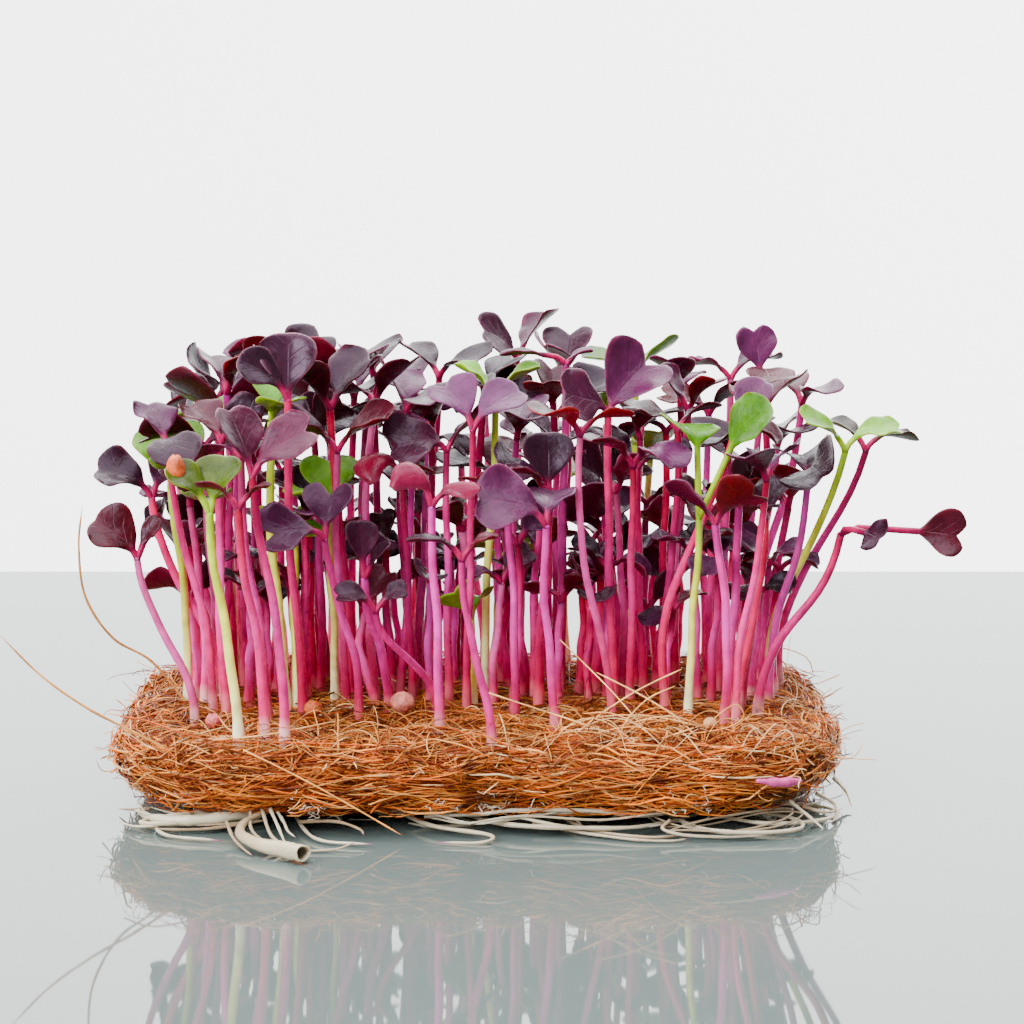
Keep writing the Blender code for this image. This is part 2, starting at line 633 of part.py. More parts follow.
def rim_fibres(draw, home):
    """Coir fibres that lie along the mat's edge and bow out of it, and short ends that stick out."""
    fibres = []
    edge = outline(0.6)
    for number in range(RIM_FIBRES):
        start = draw.randrange(len(edge))
        span = draw.choice((2, 3, 4))
        height = draw.uniform(MAT_UNDERSIDE + 1.2, MAT_TOP - 0.8)
        tilt = draw.uniform(-1.2, 1.2)
        bulge = draw.uniform(1.01, 1.05)
        ends = [edge[start] * 0.965, edge[(start + span) % len(edge)] * 0.965]
        middle = edge[(start + span // 2) % len(edge)] * bulge
        path = [(*ends[0], height), (*ends[0].lerp(middle, 0.6), height + tilt * 0.4),
                (*middle, height + tilt * 0.8), (*ends[1], height + tilt)]
        fibres.append(tube(f"rim_fibre_{number}", path, [FIBRE_RADIUS] * 4, home, 0))
    for number in range(LOOSE_ENDS):
        root = edge[draw.randrange(len(edge))]
        height = draw.uniform(MAT_UNDERSIDE + 2.0, MAT_TOP - 1.0)
        out = root.normalized() * draw.uniform(3.0, 6.0)
        aside = Vector((-root.y, root.x)).normalized() * draw.uniform(-4.0, 4.0)
        path = [(*root * 0.96, height), (*(root + out * 0.5 + aside * 0.3), height + draw.uniform(0, 1.5)),
                (*(root + out + aside), height + draw.uniform(-1.5, 2.5))]
        fibres.append(tube(f"loose_end_{number}", path, [FIBRE_RADIUS] * 3, home, 0))
    return fibres


def make_mat(clumps, home, cutters, finish):
    """The coir mat: a felted slab with fibres standing out of its edge and a plain hole for each clump."""
    draw = random.Random(SEED + 1)
    body = slab("mat_slab", MAT_LEVELS, draw, MAT_RAGGED, home)
    pieces = [body, *rim_fibres(draw, home)]
    for number, path in enumerate(LONG_FIBRES):
        pieces.append(tube(f"long_fibre_{number}", path, [FIBRE_RADIUS] * len(path), home, 0))
    mat = fused("coir_mat", pieces, home, finish)
    for name, seedlings in clumps.items():
        x, y = seedlings[0].site or seedlings[0].foot
        radius = STEM_FOOT_RADIUS + HOLE_GAP + (CLUMP_RADIUS if seedlings[0].site else 0.0)
        bpy.ops.mesh.primitive_cylinder_add(
            vertices=6, radius=radius / math.cos(math.pi / 6) * MM, depth=2 * HOLE_DEPTH * MM,
            location=(x * MM, y * MM, MAT_TOP * MM))
        cutter = bpy.context.object
        cutter.name = f"hole_{name}"
        for owner in list(cutter.users_collection):
            owner.objects.unlink(cutter)
        cutters.objects.link(cutter)
        cutter.hide_render = True
        cutter.display_type = "WIRE"
    holes = mat.modifiers.new("holes", "BOOLEAN")
    holes.operation = "DIFFERENCE"
    holes.operand_type = "COLLECTION"
    holes.solver = "MANIFOLD"
    holes.collection = cutters
    return mat


def make_roots(home, finish):
    """The root layer: a thin matted core with the thicker strands looping out of it."""
    draw = random.Random(SEED + 2)
    pieces = [slab("root_core", ROOT_CORE_LEVELS, draw, ROOT_CORE_RAGGED, home, ROOT_CORE_POINTS)]
    width, depth, height = (size * MM for size in ROOT_FOOT)
    bpy.ops.mesh.primitive_cube_add(size=1.0, location=(0.0, 0.0, height / 2), scale=(width, depth, height))
    foot = bpy.context.object
    for owner in list(foot.users_collection):
        owner.objects.unlink(foot)
    home.objects.link(foot)
    pieces.append(foot)
    for number, (radius, path) in enumerate(ROOT_STRANDS):
        points = rounded_path([Vector((x, y, max(z, radius + ROOT_RISE))) for x, y, z in path])
        pieces.append(tube(f"strand_{number}", points, [radius] * len(points), home, 1 if radius > 1 else 0))
    return fused("root_mat", pieces, home, finish)


def rounded_path(points):
    """The points of a path with its corners cut once, so that it bends smoothly."""
    cut = [points[0]]
    for before, after in zip(points, points[1:]):
        cut += [before.lerp(after, 0.25), before.lerp(after, 0.75)]
    return cut[:1] + cut[2:-1] + [points[-1]]


def make_seeds(home, finish):
    for name, (centre, radius) in SEEDS.items():
        shape = bmesh.new()
        bmesh.ops.create_uvsphere(shape, u_segments=8, v_segments=6, radius=radius * MM)
        mesh = bpy.data.meshes.new(name)
        shape.to_mesh(mesh)
        shape.free()
        mesh.materials.append(finish)
        seed = mesh_object(name, mesh, home)
        seed.location = Vector(centre) * MM


def main():
    for old in list(bpy.data.objects):
        bpy.data.objects.remove(old)
    home = collection("radish_microgreens")
    cutters = collection("cutters", hidden=True)
    finishes = {
        "purple": material("purple_seedling", (0.26, 0.03, 0.1), 0.35),
        "green": material("green_seedling", (0.36, 0.5, 0.08), 0.4),
    }
    clumps = clumps_of(all_seedlings())
    for name, seedlings in clumps.items():
        make_clump(name, seedlings, home, finishes)
    make_mat(clumps, home, cutters, material("coir", (0.42, 0.17, 0.045), 0.85))
    make_roots(home, material("root", (0.82, 0.8, 0.7), 0.4))
    make_seeds(home, material("seed_coat", (0.35, 0.14, 0.06), 0.6))
    radii = [FALLEN_RADIUS * taper for taper in (0.8, 1.0, 0.6)]
    piece = tube("fallen_piece", FALLEN_PIECE, radii, home)
    piece.data.materials.append(finishes["purple"])


main()
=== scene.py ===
"""The looks of the radish microgreens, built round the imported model.

The seedlings are settled by the same rules and the same seed as in the model's source, and then each gets a
round stem and two fine, cupped seed leaves. More seedlings fill the gaps. The mat is a dark core under some
ten thousand coir fibres. The roots, seeds, floor and lights follow. Lengths are in millimetres until a mesh
is made.
"""

import math
import random
from dataclasses import dataclass, replace

import bpy
import numpy as np
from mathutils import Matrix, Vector, noise
from mathutils.bvhtree import BVHTree


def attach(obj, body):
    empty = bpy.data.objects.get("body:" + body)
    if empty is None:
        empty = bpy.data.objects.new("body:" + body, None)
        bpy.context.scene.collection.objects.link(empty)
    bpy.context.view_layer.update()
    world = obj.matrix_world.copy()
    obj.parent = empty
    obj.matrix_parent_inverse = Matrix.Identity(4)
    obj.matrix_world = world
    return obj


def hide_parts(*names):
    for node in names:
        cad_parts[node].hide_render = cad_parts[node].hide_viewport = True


MM = 0.001
SEED = 13

# The mat, and the layer of roots under it
MAT_WIDTH = 103.0
MAT_DEPTH = 68.0
MAT_CORNER = 18.0
INNER_CORNER = 4.0
MAT_UNDERSIDE = 3.4
MAT_TOP = 12.5

# The seedlings
STEM_FOOT_RADIUS = 0.86
STEM_HEAD_RADIUS = 0.68
ROOT_DEPTH = 6.0
FOOT_RISE = 0.8
CLUMP_RADIUS = 1.0
ROOT_SPREAD = 0.36
PETIOLE_RADIUS = 0.5
PETIOLE_BEND = 2.5
BLADE_THICKNESS = 0.66
WIDEST = 0.62
PLACED_ROWS = ((0.28, 1.0), (0.7, 1.0), (1.0, 0.72))
FREE_ROWS = ((0.54, 1.02), (1.0, 0.78))

# The clearance kept round a stem or a blade, and how the free seedlings are spread
GAP = 0.3
FREE_ZONE = (-43.0, 44.0, -17.0, 29.5)
FREE_CORNER = 11.0
SITE_SPACING = 8.6
PLACED_SPACING = 5.0
SITE_TRIES = 6000
MOST_FREE_CLUMPS = 25
NUDGES = 60


@dataclass
class Leaf:
    """One seed leaf: its heading and lift in degrees, its length, and how it bends."""

    heading: float
    lift: float
    length: float
    roll: float = 0.0
    width: float = 1.05
    petiole: float = 2.5
    rise: float = None
    curl: float = -12.0
    cup: float = 0.18


@dataclass
class Seedling:
    """One seedling: its clump and colour, where it leaves the mat, the head that its leaves grow from, how
    its stem bows, and the centre of the clump that it shares with others.
    """

    clump: str
    colour: str
    foot: tuple
    head: tuple
    leaves: list
    bow: tuple = (0.0, 0.0)
    site: tuple = None


# The seedlings along the front and the edges, placed one by one: foot x, y and head x, y, z
PLACED = [
    Seedling("drooping_seedling", "purple", (-40.3, -14.6), (-48.2, -14.6, 35.8), [
        Leaf(165, 38, 7.4, roll=-45, petiole=1.5), Leaf(15, 60, 4.5, roll=50, width=0.6)]),
    Seedling("dark_seedling", "purple", (-37.1, -1.0), (-47.4, -1.0, 42.3), [
        Leaf(178, 20, 7.6, roll=-35), Leaf(60, 25, 7.4, roll=15)]),
    Seedling("violet_seedling", "purple", (-36.3, 4.5), (-43.4, 5.5, 39.0), [
        Leaf(200, 10, 5.5), Leaf(40, 30, 6.0)]),
    Seedling("hulled_green_seedling", "green", (-33.0, -28.7), (-36.6, -28.7, 44.5), [
        Leaf(65, 60, 6.6, width=1.1), Leaf(100, -8, 5.6, width=1.3, rise=20),
        Leaf(160, 42, 6.4, roll=-30, width=0.8, petiole=3.0)]),
    Seedling("thin_leaf_seedling", "purple", (-29.6, -25.8), (-32.4, -31.8, 45.6), [
        Leaf(176, 14, 5.2, roll=18, width=0.7), Leaf(-6, 20, 3.8, width=0.7)], bow=(0.3, 0.6)),
    Seedling("tall_front_seedling", "purple", (-26.6, -28.9), (-30.7, -28.4, 49.6), [
        Leaf(140, 66, 8.4), Leaf(6, 36, 9.4, roll=45, width=0.85)], bow=(0.9, 0.0)),
    Seedling("round_leaf_seedling", "purple", (-25.0, -11.2), (-26.7, -12.2, 58.2), [
        Leaf(95, 78, 8.3, width=1.02, cup=0.22, petiole=1.6), Leaf(186, 36, 7.2, roll=-60, width=0.8)],
        bow=(-0.8, 0.0)),
    Seedling("three_lobed_seedling", "purple", (-17.0, -11.2), (-21.5, -15.2, 38.6), [
        Leaf(192, -4, 8.4, roll=-45, rise=15), Leaf(75, 66, 6.4, width=1.2)], bow=(0.8, 0.0)),
    Seedling("small_cup_seedling", "purple", (-12.8, -5.6), (-16.0, -12.2, 32.4), [
        Leaf(115, 74, 5.8, width=0.9, cup=0.35, petiole=3.0), Leaf(-10, 50, 4.4, roll=30, width=0.6)]),
    Seedling("low_seedling", "purple", (-5.8, -6.5), (-14.2, -17.4, 28.6), [
        Leaf(185, 4, 4.8, roll=-35, width=0.9), Leaf(5, 14, 3.6, roll=35)]),
    Seedling("pink_dome_seedling", "purple", (-9.5, -1.0), (-10.7, -3.4, 45.6), [
        Leaf(186, 25, 7.4, curl=-70, cup=-0.25), Leaf(70, 54, 7.0, roll=12)]),
    Seedling("pink_cap_seedling", "purple", (-5.1, -21.1), (-6.1, -21.6, 44.3), [
        Leaf(150, 66, 6.4, curl=-55, cup=-0.3), Leaf(-2, 12, 6.0, width=0.6, cup=-0.2)]),
    Seedling("flat_pair_seedling", "purple", (2.3, -28.7), (-1.8, -29.7, 38.2), [
        Leaf(0, 16, 4.2, width=1.1), Leaf(181, 8, 6.8, width=0.6)], bow=(-0.6, 0.0)),
    Seedling("lilac_seedling", "purple", (-1.5, -4.5), (-0.5, -8.5, 53.3), [
        Leaf(132, 38, 7.6, roll=-20), Leaf(24, 30, 7.6, roll=25)]),
    Seedling("red_under_seedling", "purple", (19.6, -9.2), (14.7, -15.2, 53.5), [
        Leaf(225, 16, 7.4, width=1.15), Leaf(0, 8, 7.0, roll=-15, width=0.8)], bow=(-1.8, 0.0)),
    Seedling("dark_oval_seedling", "purple", (9.0, -3.0), (10.4, -10.4, 44.0), [
        Leaf(96, 74, 7.2), Leaf(200, 25, 6.0)]),
    Seedling("maroon_seedling", "purple", (11.2, -19.1), (10.2, -20.2, 41.0), [
        Leaf(184, 14, 9.4, roll=-48, width=1.15), Leaf(80, 18, 7.0)], bow=(-0.8, 0.0)),
    Seedling("bent_seedling", "purple", (27.5, -4.5), (37.2, -6.5, 53.0), [
        Leaf(25, 52, 6.4, roll=20), Leaf(-25, -30, 5.6, rise=0)], bow=(-3.6, 0.0)),
    Seedling("forked_green_seedling", "green", (30.6, -9.6), (32.7, -10.2, 39.9), [
        Leaf(97, 8, 7.0, roll=14, width=1.6, petiole=10.5, rise=86, cup=0.1),
        Leaf(8, 42, 8.8, roll=45, width=1.0, petiole=11.5, rise=66)]),
    Seedling("right_green_seedling", "green", (43.2, 4.0), (53.7, 0.6, 49.1), [
        Leaf(200, 28, 7.0, roll=-20), Leaf(5, 10, 7.4, roll=15, width=0.95)], bow=(-2.2, 0.0)),
    Seedling("far_right_seedling", "purple", (40.7, -9.2), (52.3, -9.2, 38.4), [
        Leaf(1, -2, 6.8, roll=64, petiole=12.0, rise=-4, width=1.1),
        Leaf(-50, -8, 3.6, roll=50, petiole=5.5, rise=-4, width=1.6)], bow=(-0.8, 0.0)),
    Seedling("right_edge_seedling", "purple", (45.2, 10.0), (57.6, 9.6, 47.8), [
        Leaf(4, -5, 6.6), Leaf(150, 22, 5.8)], bow=(-3.0, 0.0)),
    Seedling("tall_back_seedling", "purple", (12.3, 6.0), (13.0, 6.0, 61.0), [
        Leaf(181, 3, 6.8, width=0.55, petiole=4.0, rise=10), Leaf(0, 16, 4.0, width=0.9, petiole=1.2)]),
    Seedling("top_green_seedling", "green", (1.0, 3.5), (2.3, 3.2, 57.2), [
        Leaf(172, 36, 6.6), Leaf(8, 30, 7.0)]),
    Seedling("middle_green_seedling", "green", (-20.9, -1.0), (-21.4, -2.0, 40.1), [
        Leaf(95, 60, 7.2, width=1.2), Leaf(205, 14, 6.0)]),
    Seedling("left_green_seedling", "green", (-36.7, 14.2), (-38.6, 14.2, 49.1), [
        Leaf(190, 15, 6.6), Leaf(60, 30, 6.6)]),
    Seedling("hanging_leaf_seedling", "purple", (22.4, -2.5), (23.0, -7.5, 48.0), [
        Leaf(-32, 8, 8.6, curl=-60), Leaf(195, 12, 7.4)]),
    Seedling("low_dark_seedling", "purple", (32.4, 0.6), (31.6, -2.6, 33.7), [
        Leaf(200, 12, 5.6), Leaf(10, 18, 5.0)]),
]

# Seeds that never sprouted: x, y, z and radius. Then a bit of stem caught on the front edge
SEEDS = {
    "seed_left": ((-37.0, -22.5, 14.1), 1.3),
    "seed_brown": ((-23.4, -15.1, 14.3), 1.5),
    "seed_pink": ((-10.6, -12.6, 14.7), 1.9),
    "seed_right": ((33.0, -23.0, 13.9), 1.1),
}
FALLEN_PIECE = ((38.8, -34.3, 8.3), (42.2, -33.1, 7.8), (45.4, -31.0, 7.5))
FALLEN_RADIUS = 0.75

# The path of each long coir fibre that stands out of the mat's edge
LONG_FIBRES = [
    [(-43.0, -29.0, 11.6), (-48.0, -30.4, 14.6), (-54.0, -31.0, 18.0), (-60.0, -31.0, 22.4),
     (-65.5, -31.0, 28.0)],
    [(-42.0, -2.5, 11.6), (-47.5, -3.0, 18.6), (-53.0, -5.0, 22.6), (-56.6, -7.0, 29.0),
     (-57.3, -8.0, 36.5), (-56.7, -8.0, 42.5)],
]

# White roots on the surface that the part stands on: each one's radius, and its points x, y, z
ROOT_STRANDS = [
    (0.55, [(-30, -22, 1.2), (-38, -29, 1.4), (-45, -31, 1.6), (-46, -28, 1.4), (-36, -20, 1.2)]),
    (0.45, [(-34, -20, 1.2), (-44, -26, 1.0), (-43, -34, 0.8), (-35, -37, 0.7)]),
    (1.05, [(-28, -21, 1.3), (-31, -31, 1.4), (-31, -38, 1.2), (-27, -45, 1.2), (-22.5, -50, 1.5)]),
    (0.4, [(-26, -21, 1.2), (-24, -31, 1.0), (-21, -37, 0.7), (-14, -39, 0.7)]),
    (0.45, [(-12, -21, 1.2), (-6, -31, 1.3), (2, -35, 1.0), (1, -38, 0.7), (-5, -38, 0.7)]),
    (0.55, [(-4, -21, 1.2), (4, -31.5, 1.7), (14, -33.4, 1.6), (24, -32.6, 1.7), (34, -21, 1.2)]),
    (0.4, [(10, -21, 1.2), (16, -32, 1.0), (24, -35.5, 0.8), (30, -33, 0.7)]),
    (0.5, [(26, -21, 1.2), (31, -33, 1.5), (38, -35, 1.3), (45, -33, 1.4), (44, -27, 1.5), (34, -21, 1.2)]),
    (0.45, [(30, -21, 1.2), (40, -29, 1.2), (49, -27, 1.2), (50, -19, 0.9), (36, -14, 1.2)]),
    (0.45, [(-36, 12, 1.2), (-47, 16, 1.2), (-44, 27, 1.0), (-30, 21, 1.2)]),
    (0.45, [(10, 21, 1.2), (22, 32, 1.2), (36, 29, 1.0), (34, 20, 1.2)]),
]


def in_mat(x, y, inset):
    """Whether a point of the plan lies inside the mat's rounded outline, this far in from its edge."""
    corner = max(MAT_CORNER - inset, INNER_CORNER)
    across = max(abs(x) - (MAT_WIDTH / 2 - inset - corner), 0.0)
    along = max(abs(y) - (MAT_DEPTH / 2 - inset - corner), 0.0)
    return math.hypot(across, along) <= corner


def smooth(value):
    """Eases from 0 to 1."""
    value = min(max(value, 0.0), 1.0)
    return value * value * (3 - 2 * value)


def stem_point(seedling, share):
    """The stem's centre at a share of its way from the foot to the head, on one cubic curve."""
    foot = Vector((*seedling.foot, MAT_TOP + FOOT_RISE))
    head = Vector(seedling.head)
    bow = Vector((*seedling.bow, 0.0))
    rise = Vector((0.0, 0.0, (head.z - foot.z) / 3))
    low = foot + rise + (head - foot) * 0.12 + bow
    high = head - rise - (head - foot) * 0.10 + bow
    back = 1 - share
    return (foot * back**3 + low * 3 * back**2 * share + high * 3 * back * share**2 + head * share**3)


def stem_root(seedling):
    """The lowest point of the stem, in its hole in the mat. The stems of one clump draw together there."""
    foot = Vector(seedling.foot)
    site = Vector(seedling.site or seedling.foot)
    return Vector((*site.lerp(foot, ROOT_SPREAD), MAT_TOP - ROOT_DEPTH))


def stem_radius(share):
    """The stem thins a little from foot to head."""
    return STEM_FOOT_RADIUS + (STEM_HEAD_RADIUS - STEM_FOOT_RADIUS) * share


class Spine:
    """The midline of a leaf, from the seedling's head along its petiole to its tip."""

    STEPS = 16

    def __init__(self, seedling, leaf):
        self.leaf = leaf
        self.rows = FREE_ROWS if seedling.site else PLACED_ROWS
        self.rise = leaf.rise if leaf.rise is not None else leaf.lift + 0.45 * (80 - leaf.lift)
        self.reach = leaf.petiole + leaf.length * 1.05
        turn = math.radians(leaf.heading)
        self.outward = Vector((math.cos(turn), math.sin(turn), 0.0))
        self.sideways = Vector((-math.sin(turn), math.cos(turn), 0.0))
        point = Vector(seedling.head)
        self.points = [point.copy()]
        step = self.reach / self.STEPS
        for index in range(self.STEPS):
            point = point + self.direction((index + 0.5) * step) * step
            self.points.append(point.copy())

    def lift(self, along):
        """The midline's angle above the horizontal, in degrees, this far from the head."""
        leaf = self.leaf
        if along < leaf.petiole:
            start = max(70.0, self.rise)
            return start + (self.rise - start) * smooth(along / min(leaf.petiole, PETIOLE_BEND))
        past = along - leaf.petiole
        curled = leaf.lift + leaf.curl * past / leaf.length
        return self.rise + (curled - self.rise) * smooth(past / PETIOLE_BEND)

    def direction(self, along):
        lift = math.radians(self.lift(along))
        return self.outward * math.cos(lift) + Vector((0.0, 0.0, math.sin(lift)))

    def centre(self, along):
        place = min(max(along / self.reach, 0.0), 1.0) * self.STEPS
        low = min(int(place), self.STEPS - 1)
        return self.points[low].lerp(self.points[low + 1], place - low)

    def sides(self, along):
        """The leaf's direction to its left, and its upper face's normal."""
        forward = self.direction(along)
        roll = math.radians(self.leaf.roll) * smooth(along / self.leaf.petiole)
        flat_normal = forward.cross(self.sideways)
        side = self.sideways * math.cos(roll) + flat_normal * math.sin(roll)
        return side, forward.cross(side)


def half_width(leaf, share):
    """Half the blade's width at a share of its length: narrow at the neck, broadest near the lobes."""
    if share <= 0:
        return PETIOLE_RADIUS
    if share < WIDEST:
        swell = math.sin(math.pi / 2 * share / WIDEST) ** 1.35
    else:
        swell = 1 - 0.2 * ((share - WIDEST) / (1 - WIDEST)) ** 2
    return PETIOLE_RADIUS + (leaf.length * leaf.width / 2 - PETIOLE_RADIUS) * swell


def notched(across):
    """How far the outline at the tip stands past or short of the blade's length: two lobes and a notch."""
    return 0.03 - 0.17 * math.exp(-((across / 0.3) ** 2)) - 0.3 * across**4


def blade_point(spine, share, across, rise=0.0):
    """A point of the blade: share along it, across from -1 to 1, and rise off its surface."""
    leaf = spine.leaf
    reached = share + max(share, 0.0) ** 3 * notched(across)
    along = leaf.petiole + leaf.length * reached
    side, normal = spine.sides(along)
    half = half_width(leaf, share)
    lifted = leaf.cup * half * across * across + rise
    return spine.centre(along) + side * (half * across) + normal * lifted


def blade_rows(spine, rise=0.0):
    """The rows of three points that the plain blade is stretched over, from head to tip."""
    leaf = spine.leaf
    shares = [(-leaf.petiole / leaf.length, 1.0), *spine.rows]
    if leaf.petiole > 2 * PETIOLE_BEND:
        shares.insert(1, (0.06, 1.0))
    if leaf.petiole > 3 * PETIOLE_BEND:
        shares.insert(1, (-0.5 * leaf.petiole / leaf.length, 1.0))
    return [[blade_point(spine, share, across * reach, rise) for across in (-1, 0, 1)]
            for share, reach in shares]


def way_at(points, index):
    """The direction of a path at one of its points."""
    return (points[min(index + 1, len(points) - 1)] - points[max(index - 1, 0)]).normalized()


def ring_round(point, forward, radius, sides):
    """A ring of points round a stem, square to its direction."""
    side = forward.cross(Vector((0.0, 1.0, 0.0))).normalized()
    other = forward.cross(side)
    turns = [math.tau * turn / sides for turn in range(sides)]
    return [point + (side * math.cos(turn) + other * math.sin(turn)) * radius for turn in turns]


def tube_rings(points, radii, sides=6):
    """Rings of points round a path."""
    return [ring_round(point, way_at(points, index), radius, sides)
            for index, (point, radius) in enumerate(zip(points, radii))]


def add_tube(rings, vertices, faces):
    """Adds a closed tube through the rings to a list of vertices and faces."""
    start, sides = len(vertices), len(rings[0])
    for ring in rings:
        vertices.extend(ring)
    for row in range(len(rings) - 1):
        for turn in range(sides):
            first, second = start + row * sides + turn, start + row * sides + (turn + 1) % sides
            faces.append((first, second, second + sides, first + sides))
    faces.append(tuple(range(start + sides - 1, start - 1, -1)))
    faces.append(tuple(range(len(vertices) - sides, len(vertices))))


def room_of(seedling, from_share, gap=GAP):
    """The room that a seedling needs, as a search tree: its leaves, and its stem from this share up."""
    vertices, faces = [], []
    shares = [s for s in (0.0, 0.35, 0.7, 1.0) if s >= from_share]
    path = [stem_point(seedling, share) for share in shares]
    rings = tube_rings(path, [stem_radius(share) * 1.05 + gap for share in shares])
    add_tube(rings, vertices, faces)
    for leaf in seedling.leaves:
        spine = Spine(seedling, leaf)
        over = blade_rows(spine, BLADE_THICKNESS / 2 + gap)
        under = blade_rows(spine, -BLADE_THICKNESS / 2 - gap)
        rings = [[*low, *reversed(high)] for low, high in zip(under, over)]
        add_tube(rings, vertices, faces)
    return BVHTree.FromPolygons(vertices, faces)


def ball_tree(centre, radius):
    """The room of a small round piece."""
    rings = tube_rings([Vector(centre) - Vector((0, 0, radius)), Vector(centre) + Vector((0, 0, radius))],
                       [radius, radius])
    vertices, faces = [], []
    add_tube(rings, vertices, faces)
    return BVHTree.FromPolygons(vertices, faces)


def nudged(seedling, draw, amount):
    """The seedling with its head and its leaves moved a little, more with each try."""
    head = seedling.head
    moved = (head[0] + draw.gauss(0, 1.2) * amount, head[1] + draw.gauss(0, 1.2) * amount,
             head[2] + draw.gauss(0, 1.5) * amount)
    leaves = [replace(leaf, heading=leaf.heading + draw.gauss(0, 16) * amount,
                      lift=leaf.lift + draw.gauss(0, 12) * amount,
                      length=leaf.length * (1 - 0.15 * amount * draw.random())) for leaf in seedling.leaves]
    return replace(seedling, head=moved, leaves=leaves)


def settle(seedling, placed, obstacles, draw, free=False):
    """Moves a seedling until it crosses no other and adds it to those placed, or gives up."""
    for attempt in range(NUDGES):
        amount = 3.0 * attempt / NUDGES
        tried = drawn_seedling(seedling, draw) if free else nudged(seedling, draw, amount)
        whole, upper = room_of(tried, 0.0), room_of(tried, 0.35)
        mates = [trees for other, trees in placed if other.clump == tried.clump]
        others = [trees for other, trees in placed if other.clump != tried.clump]
        if any(whole.overlap(trees[0]) for trees in others):
            continue
        if any(upper.overlap(trees[1]) for trees in mates):
            continue
        if any(whole.overlap(tree) for tree in obstacles):
            continue
        placed.append((tried, (whole, upper)))
        return


def drawn_seedling(seedling, draw):
    """A free seedling with a head and leaves drawn anew: it leans outwards near the mat's edge."""
    x, y = seedling.foot
    centre_x, centre_y = seedling.site
    edge_x, edge_y = x / (MAT_WIDTH / 2), y / (MAT_DEPTH / 2)
    tallest = 46.0 + 5.0 * edge_y
    height = draw.triangular(25.0, tallest, tallest - 4.0)
    fall = 7.0 * max(abs(edge_x), abs(edge_y)) ** 4
    lean_x = 0.12 * edge_x**3 + draw.gauss(0, 0.04)
    lean_y = 0.10 * edge_y**3 + draw.gauss(0, 0.05)
    fan = draw.uniform(0.32, 1.54)
    head = (x + lean_x * height + (x - centre_x) * fan, y + lean_y * height + (y - centre_y) * fan,
            MAT_TOP + height - fall)
    heading = draw.uniform(0, 360)
    leaves = []
    for opposite in (0, 180):
        leaves.append(Leaf(heading + opposite + draw.gauss(0, 14), draw.gauss(24, 20),
                           draw.uniform(6.0, 8.2), roll=draw.gauss(0, 14), width=draw.uniform(0.9, 1.15),
                           petiole=draw.uniform(1.6, 2.5), curl=draw.uniform(-40, 10),
                           cup=draw.uniform(0.05, 0.3)))
    bow = (draw.gauss(0, 0.7), draw.gauss(0, 0.7))
    return replace(seedling, head=head, leaves=leaves, bow=bow)


def free_sites(draw):
    """The centres of the free clumps, strewn at random and no closer than the spacing."""
    taken = [seedling.foot for seedling in PLACED]
    sites = []
    left, right, front, back = FREE_ZONE
    for _ in range(SITE_TRIES):
        x, y = draw.uniform(left, right), draw.uniform(front, back)
        to_side = max(left + FREE_CORNER - x, x - right + FREE_CORNER, 0.0)
        to_end = max(front + FREE_CORNER - y, y - back + FREE_CORNER, 0.0)
        apart = min([math.dist((x, y), other) for other in sites], default=SITE_SPACING)
        from_placed = min(math.dist((x, y), other) for other in taken)
        inside = math.hypot(to_side, to_end) <= FREE_CORNER
        if inside and apart >= SITE_SPACING and from_placed >= PLACED_SPACING:
            sites.append((x, y))
    return sites[:MOST_FREE_CLUMPS]


def all_seedlings():
    """Every seedling, settled clear of the others: the placed ones first, then the free clumps."""
    draw = random.Random(SEED)
    obstacles = [ball_tree(centre, radius + GAP) for centre, radius in SEEDS.values()]
    placed = []
    for seedling in PLACED:
        settle(seedling, placed, obstacles, draw)
    for number, (x, y) in enumerate(free_sites(draw), 1):
        colour = "green" if draw.random() < 0.12 else "purple"
        name = f"{colour}_clump_{number:02d}"
        count = 3 if draw.random() < 0.35 else 2
        start = draw.uniform(0, math.tau)
        for mate in range(count):
            turn = start + math.tau * mate / count
            foot = (x + CLUMP_RADIUS * math.cos(turn), y + CLUMP_RADIUS * math.sin(turn))
            blank = Seedling(name, colour, foot, (x, y, MAT_TOP), [], site=(x, y))
            settle(blank, placed, obstacles, draw, free=True)
    return placed, draw


def linear(red, green, blue):
    """A colour given in 0 to 255 as the shaders' linear values."""
    values = np.array([red, green, blue]) / 255
    return np.where(values <= 0.04045, values / 12.92, ((values + 0.055) / 1.055) ** 2.4)


def mixed(first, second, share):
    return np.asarray(first) * (1 - share) + np.asarray(second) * share


# Colours of a seedling's stem from the foot to the head, at shares of its length, what it may shift to, and
# the colour of its foot
STEM_TONES = {
    "purple": [(0.0, linear(232, 22, 110)), (0.12, linear(238, 44, 150)), (0.45, linear(238, 62, 176)),
               (0.78, linear(206, 26, 116)), (1.0, linear(120, 4, 40))],
    "green": [(0.0, linear(244, 238, 190)), (0.2, linear(240, 236, 130)), (0.6, linear(214, 224, 60)),
              (1.0, linear(150, 190, 20))],
}
STEM_SHIFTS = {
    "purple": [linear(230, 56, 184), linear(216, 84, 190), linear(214, 2, 60), linear(150, 2, 46),
               linear(244, 110, 186), linear(214, 8, 96), linear(234, 40, 150)],
    "green": [linear(232, 212, 150), linear(200, 214, 50)],
}
COLLAR_TONES = {"purple": linear(246, 206, 200), "green": linear(248, 240, 220)}
# Deep crimson painted low on the stems inside the stand, as the shade among them
INNER_SHADE_TONE = linear(168, 0, 40)

